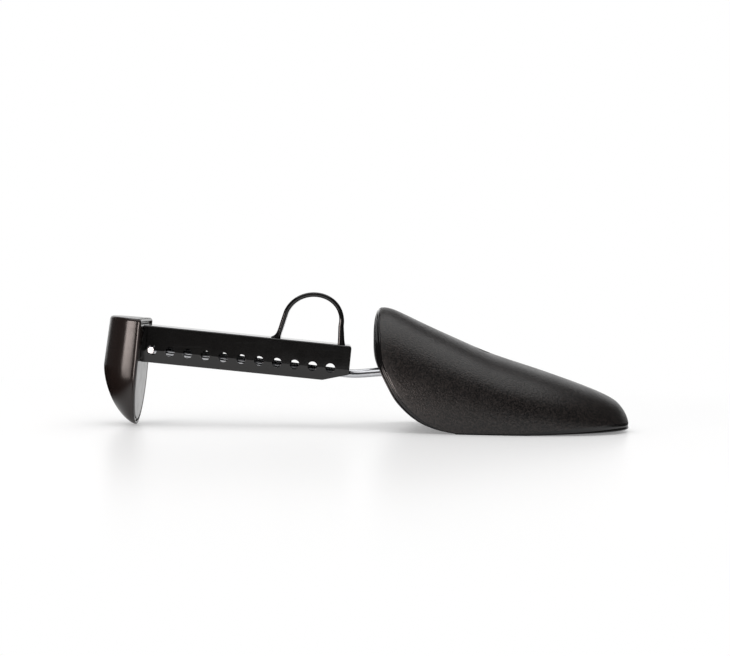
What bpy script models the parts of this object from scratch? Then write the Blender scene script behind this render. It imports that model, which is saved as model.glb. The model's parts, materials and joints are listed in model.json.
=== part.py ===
"""Adjustable plastic shoe shaper, at rest on the floor at its shortest setting.

Metres, +Z up. +X points to the toe and -X to the heel, the object is the same on both sides of
Y = 0, and the floor is Z = 0. The arm and the heel are built in the arm's own frame, whose origin
is the axis of the hooks, whose X runs along the arm and whose Z is square to it.
"""

import math

import bmesh
import bpy
import numpy as np
from mathutils import Vector
from mathutils.bvhtree import BVHTree

MM = 0.001

# Clearances
TOUCH_GAP = 0.3 * MM
RUNNING_GAP = 0.25 * MM

# Spring wire: a hairpin whose two ends are turned outwards as hooks
WIRE_DIAMETER = 3.2 * MM
HOOK_BEND_RADIUS = 2.6 * MM
BAR_BEND_RADIUS = 4.0 * MM
KNEE_BEND_RADIUS = 30.0 * MM
LEG_SPACING = 14.0 * MM
BAR_SPACING = 24.0 * MM
HOOK_OUTSIDE = 3.6 * MM
HOOK_CHAMFER = 0.5 * MM
LEG_DROP_ANGLE = math.radians(1.4)
KNEE_REACH = 90.5 * MM
BAR_REACH = 126.0 * MM
BAR_HEIGHT = 27.4 * MM
SPREAD_LENGTH = 27.0 * MM

# Arm: an inverted channel with a row of hole pairs
ARM_PITCH = math.radians(5.0)
ARM_WIDTH = 27.0 * MM
ARM_WALL = 1.8 * MM
ARM_TOP = 10.8 * MM
ARM_LIP_DEPTH = 5.7 * MM
ARM_LIP_LEAN = 2.4 * MM
ARM_EDGE_RADIUS = 1.0 * MM
ARM_CORNER_RADIUS = 1.3 * MM
ARM_END_WALL = 2.4 * MM
HOLE_COUNT = 11
HOLE_PITCH = 8.0 * MM
HOLE_DIAMETER = 4.3 * MM
HOLE_TO_HEEL = 4.9 * MM
HOLE_TO_NOSE = 8.6 * MM
NOSE_CUT_LENGTH = 11.6 * MM
NOSE_CUT_RISE = 3.6 * MM

# Finger loop moulded on the arm
LOOP_INSIDE_HEIGHT = 20.2 * MM
LOOP_INSIDE_WIDTH = 23.8 * MM
LOOP_THICKNESS = 2.1 * MM
LOOP_WIDTH = 13.0 * MM
LOOP_TO_NOSE = 4.6 * MM
LOOP_LEAN = 2.6 * MM
LOOP_FRONT_LEAN = 1.0 * MM
LOOP_CROWN_LEAN = 0.7 * MM
LOOP_FOOT_SPREAD = 1.6 * MM
LOOP_FOOT_HEIGHT = 3.2 * MM
LOOP_BOW = 0.55
LOOP_REAR_ARC = 172.0

# Heel shell and the plate that closes it
HEEL_WIDTH = 44.0 * MM
HEEL_DEPTH = 17.2 * MM
HEEL_ABOVE_ARM = 2.6 * MM
HEEL_HEIGHT = 48.0 * MM
HEEL_TAPER_HEIGHT = 26.0 * MM
HEEL_TAPER_POWER = 1.6
HEEL_TOP_DRAFT = 0.8 * MM
HEEL_WALL = 2.4 * MM
HEEL_LIP = 1.2 * MM
HEEL_EDGE_RADIUS = 1.3 * MM
HEEL_PLATE_THICKNESS = 2.0 * MM
HEEL_PLATE_RECESS = 0.6 * MM

# Toe piece: a hollow shell, open at the rear and underneath
TOE_LENGTH = 116.2 * MM
TOE_HEIGHT = 54.6 * MM
TOE_WIDTH = 78.0 * MM
TOE_WALL = 2.2 * MM
TOE_GAP = 11.1 * MM
TOE_WIDEST = 0.50
TOE_REAR_NARROWING = 0.23
TOE_REAR_ROUNDNESS = 1.6
TOE_NOSE_FULLNESS = 2.3
TOE_SHOULDER_FULLNESS = 2.2
TOE_ARCH_SWEEP = math.radians(102.0)
SOLE_TRIM = 1.2 * MM
SOLE_FLAT = 30.0 * MM
TOE_SPRING = 1.5 * MM
RIM_BLEND = 3.0
VENT_LENGTH = 6.4 * MM
VENT_WIDTH = 17.0 * MM
VENT_PLACE = 0.427

# Ridge of the toe piece as shares of its length and height, from the rear rim to the tip
TOE_RIDGE = (
    (0.009, 0.976),
    (0.031, 1.000),
    (0.064, 0.991),
    (0.100, 0.962),
    (0.197, 0.867),
    (0.307, 0.764),
    (0.453, 0.635),
    (0.671, 0.486),
    (0.853, 0.350),
    (0.941, 0.262),
    (0.978, 0.182),
    (1.000, 0.090),
)

# Rear rim seen from the side, as the same shares, from the ridge down to the sole
TOE_REAR_RIM = (
    (0.009, 0.976),
    (0.002, 0.900),
    (0.000, 0.760),
    (0.008, 0.550),
    (0.050, 0.350),
    (0.087, 0.229),
    (0.157, 0.100),
    (0.230, 0.034),
    (0.310, 0.000),
)

# Anchor of the wire inside the toe piece
ANCHOR_LENGTH = 21.0 * MM
ANCHOR_WIDTH = 15.0 * MM
CLAMP_THICKNESS = 4.0 * MM
CLAMP_SCREW_SPACING = 12.6 * MM

# Screws
SCREW_DIAMETER = 2.6 * MM
SCREW_HEAD_DIAMETER = 5.0 * MM
SCREW_HEAD_HEIGHT = 1.8 * MM
SCREW_POINT_SHARE = 0.4
SCREW_CROWN_SHARE = 0.7
CLAMP_SCREW_LENGTH = 12.0 * MM
HEEL_SCREW_LENGTH = 10.0 * MM
HEEL_SCREW_TO_SIDE = 6.0 * MM
HEEL_SCREW_HEIGHT = 5.6 * MM
SCREW_BOSS_DIAMETER = 5.4 * MM

# Fineness of the meshes
ROUND_SIDES = 20
TOE_STATIONS = 26
TOE_ARCH_STEPS = 16
TOE_EDGE_CROWDING = 1.8
TOE_RIDGE_CROWDING = 1.25
TOE_SOLE_CROWDING = 1.7
HEEL_ROWS = 12
HEEL_COLUMNS = 18
ANCHOR_STEPS = (5, 4)
SCREW_SIDES = 12
CUT_MARGIN = 6.0 * MM

WIRE_RADIUS = WIRE_DIAMETER / 2
ARM_HALF = ARM_WIDTH / 2
HEEL_SCREW_SPACING = ARM_WIDTH - 2 * HEEL_SCREW_TO_SIDE
ARM_LENGTH = HOLE_TO_HEEL + HOLE_PITCH * (HOLE_COUNT - 1) + HOLE_TO_NOSE
ARM_FRONT = ARM_LENGTH - HOLE_TO_HEEL
HEEL_TOP = ARM_TOP + HEEL_ABOVE_ARM
HEEL_TIP = HEEL_TOP - HEEL_HEIGHT


def clear_scene():
    """Removes every object that the scene starts with."""
    for obj in list(bpy.data.objects):
        bpy.data.objects.remove(obj, do_unlink=True)


def make_material(name, colour, roughness, metallic=0.0):
    """A Principled material; colour is linear red, green and blue."""
    material = bpy.data.materials.new(name)
    material.use_nodes = True
    shader = material.node_tree.nodes["Principled BSDF"]
    shader.inputs["Base Color"].default_value = (*colour, 1.0)
    shader.inputs["Roughness"].default_value = roughness
    shader.inputs["Metallic"].default_value = metallic
    material.diffuse_color = (*colour, 1.0)
    return material


def make_frame(name, place, turn=0.0):
    """An empty at a joint's axis, turned about Y, that carries the pieces of one body."""
    frame = bpy.data.objects.new(name, None)
    frame.location = place
    frame.rotation_euler = (0.0, turn, 0.0)
    bpy.context.collection.objects.link(frame)
    return frame


def place_mesh(name, shape, frame, material=None, angle=35.0):
    """Makes an object from a closed bmesh, smooth except at edges sharper than the angle."""
    bmesh.ops.recalc_face_normals(shape, faces=shape.faces)
    mesh = bpy.data.meshes.new(name)
    shape.to_mesh(mesh)
    shape.free()
    obj = bpy.data.objects.new(name, mesh)
    obj.parent = frame
    bpy.context.collection.objects.link(obj)
    if material:
        mesh.materials.append(material)
        mesh.shade_smooth()
        mesh.set_sharp_from_angle(angle=math.radians(angle))
    else:
        obj.hide_render = True
        obj.display_type = "WIRE"
    return obj


def combine(obj, other, operation):
    """Adds a Boolean modifier and hides the other object, which is a cutter or a blank."""
    modifier = obj.modifiers.new(other.name, "BOOLEAN")
    modifier.operation = operation
    modifier.solver = "EXACT"
    modifier.object = other


def prism(outline, start, end, to_space):
    """A bmesh of an outline pushed from start to end; to_space maps (a, b, depth) to a point."""
    shape = bmesh.new()
    rings = []
    for depth in (start, end):
        rings.append([shape.verts.new(to_space(a, b, depth)) for a, b in outline])
    shape.faces.new(rings[0])
    shape.faces.new(rings[1])
    for i in range(len(outline)):
        j = (i + 1) % len(outline)
        shape.faces.new((rings[0][i], rings[0][j], rings[1][j], rings[1][i]))
    return shape


def along_x(a, b, depth):
    """Outline in Y and Z, pushed along X."""
    return (depth, a, b)


def along_y(a, b, depth):
    """Outline in X and Z, pushed along Y."""
    return (a, depth, b)


def along_z(a, b, depth):
    """Outline in X and Y, pushed along Z."""
    return (a, b, depth)


def arc(centre, radius, start, end, steps):
    """Points of an arc in degrees, both ends included."""
    turns = np.radians(np.linspace(start, end, steps + 1))
    return [
        (centre[0] + radius * math.cos(t), centre[1] + radius * math.sin(t))
        for t in turns
    ]


def circle(centre, diameter, sides=ROUND_SIDES):
    """Corners of a round outline."""
    return arc(centre, diameter / 2, 0.0, 360.0, sides)[:-1]


def box_outline(low_a, high_a, low_b, high_b):
    """Corners of a rectangle."""
    return [(low_a, low_b), (high_a, low_b), (high_a, high_b), (low_a, high_b)]


def smooth_curve(points, steps):
    """A curve through all the points, with the given number of steps between two of them."""
    knots = [2 * Vector(points[0]) - Vector(points[1])]
    knots += [Vector(p) for p in points]
    knots.append(2 * Vector(points[-1]) - Vector(points[-2]))
    curve = []
    for before, start, end, after in zip(knots, knots[1:], knots[2:], knots[3:]):
        span = (end - start).length
        leave = span * (end - before) / ((start - before).length + span)
        arrive = span * (after - start) / (span + (after - end).length)
        for i in range(steps):
            t = i / steps
            curve.append(
                (2 * t**3 - 3 * t**2 + 1) * start
                + (t**3 - 2 * t**2 + t) * leave
                + (3 * t**2 - 2 * t**3) * end
                + (t**3 - t**2) * arrive
            )
    curve.append(Vector(points[-1]))
    return curve


def rounded_path(corners, radii, steps=6):
    """A path through straight runs, with each inner corner rounded to its radius."""
    path = [Vector(corners[0])]
    for before, corner, after, radius in zip(corners, corners[1:], corners[2:], radii):
        corner = Vector(corner)
        come = (Vector(before) - corner).normalized()
        go = (Vector(after) - corner).normalized()
        half = come.angle(go) / 2
        reach = radius / math.tan(half)
        middle = corner + (come + go).normalized() * radius / math.sin(half)
        first = corner + come * reach - middle
        last = corner + go * reach - middle
        turn = first.angle(last)
        for i in range(steps + 1):
            share = i / steps
            a = math.sin((1 - share) * turn) / math.sin(turn)
            b = math.sin(share * turn) / math.sin(turn)
            path.append(middle + first * a + last * b)
    path.append(Vector(corners[-1]))
    return path


def make_tube(name, path, diameter, frame, material):
    """A round bar along a path, with flat ends."""
    curve = bpy.data.curves.new(name, "CURVE")
    curve.dimensions = "3D"
    curve.bevel_depth = diameter / 2
    curve.bevel_resolution = 3
    curve.use_fill_caps = True
    spline = curve.splines.new("POLY")
    spline.points.add(len(path) - 1)
    for point, place in zip(spline.points, path):
        point.co = (*place, 1.0)
    curve.materials.append(material)
    obj = bpy.data.objects.new(name, curve)
    obj.parent = frame
    bpy.context.collection.objects.link(obj)


def turned(profile, to_space, sides=ROUND_SIDES):
    """A closed turned solid; profile lists (radius, depth), and its end radii may be zero."""
    shape = bmesh.new()
    rings = []
    for radius, depth in profile:
        ring = circle((0.0, 0.0), 2 * radius, sides)
        rings.append([shape.verts.new(to_space(a, b, depth)) for a, b in ring])
    shape.faces.new(rings[0])
    shape.faces.new(rings[-1])
    for ring, following in zip(rings, rings[1:]):
        for i in range(sides):
            j = (i + 1) % sides
            shape.faces.new((ring[i], ring[j], following[j], following[i]))
    return shape


def screw_profile(length):
    """Pan-head screw: (radius, depth), with the seat of the head at depth 0."""
    shank = SCREW_DIAMETER / 2
    head = SCREW_HEAD_DIAMETER / 2
    return (
        (shank * SCREW_POINT_SHARE, length),
        (shank, length - shank),
        (shank, 0.0),
        (head, 0.0),
        (head, -SCREW_HEAD_HEIGHT / 2),
        (head * SCREW_CROWN_SHARE, -SCREW_HEAD_HEIGHT),
    )


def hook_height():
    """Height of the hook axis at which the tip of the heel just meets the floor."""
    return -HEEL_TIP * math.cos(ARM_PITCH) - HOLE_TO_HEEL * math.sin(ARM_PITCH)


def toe_rear(hook):
    """X of the rearmost point of the toe piece, a set gap in front of the arm's nose."""
    return hook.x + ARM_FRONT * math.cos(ARM_PITCH) + TOE_GAP


def toe_plan(share):
    """Half width of the toe piece at a share of its length, as a share of the widest."""
    if share < TOE_WIDEST:
        back = (TOE_WIDEST - share) / TOE_WIDEST
        return 1.0 - TOE_REAR_NARROWING * back**TOE_REAR_ROUNDNESS
    forward = min((share - TOE_WIDEST) / (1.0 - TOE_WIDEST), 1.0)
    return (1.0 - forward**TOE_NOSE_FULLNESS) ** (1.0 / TOE_NOSE_FULLNESS)


def toe_arch(step):
    """Sideways and downward shares of one step of an arch, from the ridge to the sole edge."""
    turn = TOE_ARCH_SWEEP * (1.0 - (1.0 - step / TOE_ARCH_STEPS) ** TOE_EDGE_CROWDING)
    power = 2.0 / TOE_SHOULDER_FULLNESS
    full = math.cos(TOE_ARCH_SWEEP)
    lowest = -abs(full) ** power
    across = math.sin(turn) ** power / math.sin(TOE_ARCH_SWEEP) ** power
    drop = math.copysign(abs(math.cos(turn)) ** power, math.cos(turn))
    return across, (1.0 - drop) / (1.0 - lowest)


def toe_surface(rear):
    """Rows of points of the outer surface of the toe piece, from the rear rim to the tip."""
    ridge = np.array([tuple(p) for p in smooth_curve(TOE_RIDGE, 12)])
    run = np.append(0.0, np.cumsum(np.hypot(*np.diff(ridge, axis=0).T)))
    run /= run[-1]
    rim = np.array([tuple(p) for p in smooth_curve(TOE_REAR_RIM, 12)])[::-1]
    floor_share = -SOLE_TRIM / TOE_HEIGHT
    sole_start = TOE_REAR_RIM[-1][0]
    rows = []
    for station in range(TOE_STATIONS + 1):
        share = station / TOE_STATIONS
        forward = 1.0 - (1.0 - share) ** TOE_RIDGE_CROWDING
        on_ridge = (forward + 0.5 - 0.5 * math.cos(math.pi * forward)) / 2
        on_sole = 1.0 - (1.0 - share) ** TOE_SOLE_CROWDING
        top_x = np.interp(on_ridge, run, ridge[:, 0])
        top_z = np.interp(on_ridge, run, ridge[:, 1])
        sole_x = sole_start + (1.0 - sole_start) * on_sole
        row = []
        for side in range(-TOE_ARCH_STEPS, TOE_ARCH_STEPS + 1):
            across, down = toe_arch(abs(side))
            x = top_x + (sole_x - top_x) * down
            z = top_z + (floor_share - top_z) * down
            rear_z = TOE_RIDGE[0][1] + (floor_share - TOE_RIDGE[0][1]) * down
            rear_x = TOE_RIDGE[0][0] + (sole_start - TOE_RIDGE[0][0]) * down
            wanted = np.interp(rear_z, rim[:, 1], rim[:, 0])
            x += (wanted - rear_x) * (1.0 - share) ** RIM_BLEND
            y = toe_plan(x) * across * math.copysign(1.0, side)
            if station == TOE_STATIONS or side == 0:
                y = 0.0
            row.append((rear + x * TOE_LENGTH, y * TOE_WIDTH / 2, z * TOE_HEIGHT))
        rows.append(row)
    return rows


def make_toe_shell(rear, bar, frame, material):
    """The toe piece with its anchor block, groove, screw holes, slot and flat sole edge."""
    rows = toe_surface(rear)
    shape = bmesh.new()
    grid = [[shape.verts.new(Vector(p) - bar) for p in row] for row in rows]
    for row, following in zip(grid, grid[1:]):
        for i in range(len(row) - 1):
            shape.faces.new((row[i], following[i], following[i + 1], row[i + 1]))
    bmesh.ops.remove_doubles(shape, verts=shape.verts, dist=1e-6)
    shape.normal_update()
    roof = BVHTree.FromBMesh(shape)
    mesh = bpy.data.meshes.new("toe_shell")
    shape.to_mesh(mesh)
    shape.free()
    shell = bpy.data.objects.new("toe_shell", mesh)
    shell.parent = frame
    bpy.context.collection.objects.link(shell)
    mesh.materials.append(material)
    mesh.shade_smooth()
    wall = shell.modifiers.new("wall", "SOLIDIFY")
    wall.thickness = TOE_WALL
    wall.offset = -1.0
    wall.use_even_offset = True

    block = make_anchor_block(roof, frame)
    combine(shell, block, "UNION")
    groove = turned(
        ((WIRE_RADIUS + RUNNING_GAP, -ANCHOR_WIDTH), (WIRE_RADIUS + RUNNING_GAP, ANCHOR_WIDTH)),
        along_y,
    )
    cutters = [place_mesh("cut_groove", groove, frame)]
    pilot = SCREW_DIAMETER + RUNNING_GAP
    for side in (-1, 1):
        hole = prism(
            circle((side * CLAMP_SCREW_SPACING / 2, 0.0), pilot),
            -CUT_MARGIN,
            CLAMP_SCREW_LENGTH - CLAMP_THICKNESS + 2 * TOUCH_GAP,
            along_z,
        )
        cutters.append(place_mesh(f"cut_pilot_{side + 1}", hole, frame))
    tip = rear + TOE_LENGTH - bar.x
    flat_end = rear + TOE_REAR_RIM[-1][0] * TOE_LENGTH + SOLE_FLAT - bar.x
    under = [
        (-TOE_LENGTH, -bar.z),
        (flat_end, -bar.z),
        (tip + (tip - flat_end), -bar.z + 2 * TOE_SPRING),
        (tip + (tip - flat_end), -bar.z - CUT_MARGIN),
        (-TOE_LENGTH, -bar.z - CUT_MARGIN),
    ]
    floor = prism(under, -TOE_WIDTH, TOE_WIDTH, along_y)
    cutters.append(place_mesh("cut_floor", floor, frame))
    half = (VENT_WIDTH - VENT_LENGTH) / 2
    vent_x = rear + VENT_PLACE * TOE_LENGTH - bar.x
    slot = arc((vent_x, half), VENT_LENGTH / 2, 0.0, 180.0, 6)
    slot += arc((vent_x, -half), VENT_LENGTH / 2, 180.0, 360.0, 6)
    cutters.append(place_mesh("cut_vent", prism(slot, 0.0, TOE_HEIGHT, along_z), frame))
    for cutter in cutters:
        combine(shell, cutter, "DIFFERENCE")


def make_anchor_block(roof, frame):
    """Block under the roof, from the groove's middle up to half way through the shell's wall."""
    steps_x, steps_y = ANCHOR_STEPS
    shape = bmesh.new()
    layers = []
    for top in (False, True):
        layer = []
        for i in range(steps_x + 1):
            x = (i / steps_x - 0.5) * ANCHOR_LENGTH
            column = []
            for j in range(steps_y + 1):
                y = (j / steps_y - 0.5) * ANCHOR_WIDTH
                z = TOUCH_GAP / 2
                if top:
                    hit = roof.ray_cast(Vector((x, y, 0.0)), Vector((0.0, 0.0, 1.0)))
                    z = hit[0].z - TOE_WALL / 2
                column.append(shape.verts.new((x, y, z)))
            layer.append(column)
        layers.append(layer)
    for layer in layers:
        for i in range(steps_x):
            for j in range(steps_y):
                corners = (layer[i][j], layer[i + 1][j], layer[i + 1][j + 1], layer[i][j + 1])
                shape.faces.new(corners)
    edge = [(i, 0) for i in range(steps_x)] + [(steps_x, j) for j in range(steps_y)]
    edge += [(i, steps_y) for i in range(steps_x, 0, -1)]
    edge += [(0, j) for j in range(steps_y, 0, -1)]
    for (i, j), (k, m) in zip(edge, edge[1:] + edge[:1]):
        shape.faces.new((layers[0][i][j], layers[0][k][m], layers[1][k][m], layers[1][i][j]))
    return place_mesh("blank_anchor", shape, frame)


def make_clamp(frame, plastic, steel):
    """The plate under the wire's cross-bar, and its two screws."""
    top = -TOUCH_GAP / 2
    outline = box_outline(
        -ANCHOR_LENGTH / 2, ANCHOR_LENGTH / 2, -ANCHOR_WIDTH / 2, ANCHOR_WIDTH / 2
    )
    plate = place_mesh(
        "toe_clamp_plate", prism(outline, top - CLAMP_THICKNESS, top, along_z), frame, plastic
    )
    radius = WIRE_RADIUS + RUNNING_GAP
    groove = turned(((radius, -ANCHOR_WIDTH), (radius, ANCHOR_WIDTH)), along_y)
    combine(plate, place_mesh("cut_clamp_groove", groove, frame), "DIFFERENCE")
    seat = top - CLAMP_THICKNESS - TOUCH_GAP
    for name, side in (("rear", -1), ("front", 1)):
        x = side * CLAMP_SCREW_SPACING / 2
        hole = prism(
            circle((x, 0.0), SCREW_DIAMETER + 2 * TOUCH_GAP), -CUT_MARGIN * 2, CUT_MARGIN, along_z
        )
        combine(plate, place_mesh(f"cut_clamp_{name}", hole, frame), "DIFFERENCE")
        screw = turned(
            screw_profile(CLAMP_SCREW_LENGTH),
            lambda a, b, depth, x=x: (x + a, b, seat + depth),
            SCREW_SIDES,
        )
        place_mesh(f"clamp_screw_{name}", screw, frame, steel)


def make_wire(hook, bar, frame, material):
    """The hairpin from one hook bend to the other; the hooks themselves are separate."""
    slope = ARM_PITCH + LEG_DROP_ANGLE
    knee = hook + KNEE_REACH * Vector((math.cos(slope), 0.0, -math.sin(slope)))
    spread = knee + (bar - knee) * (SPREAD_LENGTH / (bar - knee).length)
    side = [
        (hook, hook_inner_end() - TOUCH_GAP / 2),
        (hook, LEG_SPACING / 2),
        (knee, LEG_SPACING / 2),
        (spread, BAR_SPACING / 2),
        (bar, BAR_SPACING / 2),
    ]
    radii = [HOOK_BEND_RADIUS, KNEE_BEND_RADIUS, KNEE_BEND_RADIUS, BAR_BEND_RADIUS]
    left = [Vector((p.x, y, p.z)) - bar for p, y in side]
    right = [Vector((p.x, -y, p.z)) - bar for p, y in reversed(side)]
    path = rounded_path(left + right, radii + radii[::-1])
    make_tube("spring_wire", path, WIRE_DIAMETER, frame, material)


def hook_inner_end():
    """Distance from the middle at which the wire's bend ends and the straight hook begins."""
    return LEG_SPACING / 2 + HOOK_BEND_RADIUS + TOUCH_GAP


def make_hooks(frame, material):
    """The two straight ends of the wire, which stand in a pair of holes and past them."""
    inner = hook_inner_end() + TOUCH_GAP / 2
    outer = ARM_HALF + HOOK_OUTSIDE
    profile = (
        (WIRE_RADIUS, inner),
        (WIRE_RADIUS, outer - HOOK_CHAMFER),
        (WIRE_RADIUS - HOOK_CHAMFER, outer),
    )
    for name, side in (("left", 1), ("right", -1)):
        shape = turned(profile, lambda a, b, depth, side=side: (a, side * depth, b))
        place_mesh(f"hook_end_{name}", shape, frame, material)


def channel_outline():
    """Cross-section of the arm: web on top, upright walls, and lips that lean inwards."""
    inside = ARM_HALF - ARM_WALL
    right = arc(
        (ARM_HALF - ARM_EDGE_RADIUS, ARM_TOP - ARM_EDGE_RADIUS), ARM_EDGE_RADIUS, 90.0, 0.0, 4
    )
    right += [
        (ARM_HALF, 0.0),
        (ARM_HALF - ARM_LIP_LEAN, -ARM_LIP_DEPTH),
        (inside - ARM_LIP_LEAN, -ARM_LIP_DEPTH),
        (inside, 0.0),
        (inside, ARM_TOP - ARM_WALL),
    ]
    return right + [(-y, z) for y, z in reversed(right)]


def loop_path():
    """Middle line of the finger loop: a slanting rear leg, a round top and a steeper front leg."""
    thick = LOOP_THICKNESS / 2
    front = ARM_FRONT - LOOP_TO_NOSE - thick
    rear = front - LOOP_INSIDE_WIDTH - LOOP_THICKNESS
    radius = (front - rear) / 2
    middle = ((front + rear) / 2, ARM_TOP + LOOP_INSIDE_HEIGHT + thick - radius)
    root = ARM_TOP - ARM_WALL / 2
    crown = []
    for x, z in arc(middle, radius, LOOP_REAR_ARC, 0.0, 16):
        ahead, up = (x - middle[0]) / radius, (z - middle[1]) / radius
        crown.append((x + LOOP_CROWN_LEAN * up * (1.0 + ahead), z))
    knee = ARM_TOP + LOOP_FOOT_HEIGHT
    rear_leg = [(rear - LOOP_LEAN, root), (rear - LOOP_LEAN * LOOP_BOW, knee)]
    lean = LOOP_FRONT_LEAN * (middle[1] - knee) / (middle[1] - root)
    return rear_leg + crown + [(front + lean, knee), (front + LOOP_FRONT_LEAN, root)]


def loop_outline():
    """Outline of the finger loop seen from the side, thicker at its two feet."""
    path = [Vector(p) for p in smooth_curve(loop_path(), 2)]
    outside = []
    inside = []
    for i, point in enumerate(path):
        run = (path[min(i + 1, len(path) - 1)] - path[max(i - 1, 0)]).normalized()
        normal = Vector((-run.y, run.x))
        above = point.y - ARM_TOP
        foot = min(LOOP_FOOT_SPREAD * max(0.0, 1.0 - above / LOOP_FOOT_HEIGHT) ** 2, LOOP_FOOT_SPREAD)
        outside.append(point + normal * (LOOP_THICKNESS / 2 + foot))
        inside.append(point - normal * (LOOP_THICKNESS + foot) / 2)
    return [tuple(p) for p in outside + inside[::-1]]


def make_arm(frame, material):
    """The channel with its end wall, screw bosses, holes, raised nose and finger loop."""
    rear = -HOLE_TO_HEEL + TOUCH_GAP
    arm = place_mesh(
        "arm_channel", prism(channel_outline(), rear, ARM_FRONT, along_x), frame, material
    )
    inside = ARM_HALF - ARM_WALL / 2
    wall_outline = [
        (inside, ARM_TOP - ARM_WALL / 2),
        (inside, 0.0),
        (inside - ARM_LIP_LEAN, -ARM_LIP_DEPTH),
        (-inside + ARM_LIP_LEAN, -ARM_LIP_DEPTH),
        (-inside, 0.0),
        (-inside, ARM_TOP - ARM_WALL / 2),
    ]
    blanks = [prism(wall_outline, rear, rear + ARM_END_WALL, along_x)]
    boss_end = HEEL_SCREW_LENGTH - HEEL_PLATE_THICKNESS - HOLE_TO_HEEL + ARM_WALL
    for side in (-1, 1):
        centre = (side * HEEL_SCREW_SPACING / 2, HEEL_SCREW_HEIGHT)
        boss = circle(centre, SCREW_BOSS_DIAMETER, 16)
        top = ARM_TOP - ARM_WALL / 2
        boss = [(y, top if z > HEEL_SCREW_HEIGHT else z) for y, z in boss]
        blanks.append(prism(boss, rear + ARM_END_WALL / 2, boss_end, along_x))
    blanks.append(prism(loop_outline(), -LOOP_WIDTH / 2, LOOP_WIDTH / 2, along_y))
    for i, blank in enumerate(blanks):
        combine(arm, place_mesh(f"blank_arm_{i}", blank, frame), "UNION")

    cutters = []
    for i in range(HOLE_COUNT):
        hole = circle((i * HOLE_PITCH, 0.0), HOLE_DIAMETER)
        cutters.append(prism(hole, -ARM_WIDTH, ARM_WIDTH, along_y))
    nose = [
        (ARM_FRONT - NOSE_CUT_LENGTH, -ARM_LIP_DEPTH),
        (ARM_FRONT + NOSE_CUT_LENGTH, -ARM_LIP_DEPTH + 2 * NOSE_CUT_RISE),
        (ARM_FRONT + NOSE_CUT_LENGTH, -ARM_LIP_DEPTH - NOSE_CUT_RISE),
        (ARM_FRONT - NOSE_CUT_LENGTH, -ARM_LIP_DEPTH - NOSE_CUT_RISE),
    ]
    cutters.append(prism(nose, -ARM_WIDTH, ARM_WIDTH, along_y))
    bend = (ARM_FRONT - ARM_CORNER_RADIUS, ARM_TOP - ARM_CORNER_RADIUS)
    corner = [
        (ARM_FRONT + CUT_MARGIN, bend[1]),
        (ARM_FRONT + CUT_MARGIN, ARM_TOP + CUT_MARGIN),
        (bend[0], ARM_TOP + CUT_MARGIN),
    ]
    corner += arc(bend, ARM_CORNER_RADIUS, 90.0, 0.0, 4)
    cutters.append(prism(corner, -ARM_WIDTH, ARM_WIDTH, along_y))
    for side in (-1, 1):
        centre = (side * HEEL_SCREW_SPACING / 2, HEEL_SCREW_HEIGHT)
        pilot = circle(centre, SCREW_DIAMETER + RUNNING_GAP, SCREW_SIDES)
        depth = screw_seat() + HEEL_SCREW_LENGTH + TOUCH_GAP
        cutters.append(prism(pilot, rear - CUT_MARGIN, depth, along_x))
    for i, cutter in enumerate(cutters):
        combine(arm, place_mesh(f"cut_arm_{i}", cutter, frame), "DIFFERENCE")


def screw_seat():
    """Place along the arm of the back of the heel plate, where the heads of its screws seat."""
    plate_front = -HOLE_TO_HEEL - HEEL_PLATE_RECESS
    return plate_front - HEEL_PLATE_THICKNESS - TOUCH_GAP


def heel_form(inset, front, top):
    """A half-round body with a rounded foot, smaller all round by the inset."""
    half = HEEL_WIDTH / 2
    rows = []
    heights = [
        HEEL_TAPER_HEIGHT * (1 - math.cos(math.pi / 2 * i / HEEL_ROWS))
        for i in range(HEEL_ROWS + 1)
    ]
    heights.append(HEEL_HEIGHT)
    for height in heights:
        wide = half if height > half else math.sqrt(half**2 - (half - height) ** 2)
        left_over = max(0.0, 1.0 - height / HEEL_TAPER_HEIGHT)
        deep = HEEL_DEPTH * (1.0 - left_over**HEEL_TAPER_POWER) ** (1 / HEEL_TAPER_POWER)
        if height == HEEL_HEIGHT:
            deep -= HEEL_TOP_DRAFT
        rows.append((height, wide, deep))
    shape = bmesh.new()
    grid = []
    scale_y = (half - inset) / half
    scale_x = (HEEL_DEPTH - inset) / HEEL_DEPTH
    span = top - (HEEL_TIP + inset)
    for height, wide, deep in rows:
        level = HEEL_TIP + inset + height / HEEL_HEIGHT * span
        line = [shape.verts.new((front, wide * scale_y, level))]
        for i in range(HEEL_COLUMNS + 1):
            turn = math.pi * i / HEEL_COLUMNS
            x = -HOLE_TO_HEEL - deep * scale_x * math.sin(turn)
            line.append(shape.verts.new((x, wide * scale_y * math.cos(turn), level)))
        line.append(shape.verts.new((front, -wide * scale_y, level)))
        grid.append(line)
    for line, above in zip(grid, grid[1:]):
        for i in range(len(line)):
            j = (i + 1) % len(line)
            shape.faces.new((line[i], line[j], above[j], above[i]))
    shape.faces.new(grid[-1])
    bmesh.ops.remove_doubles(shape, verts=shape.verts, dist=1e-6)
    return shape


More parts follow.
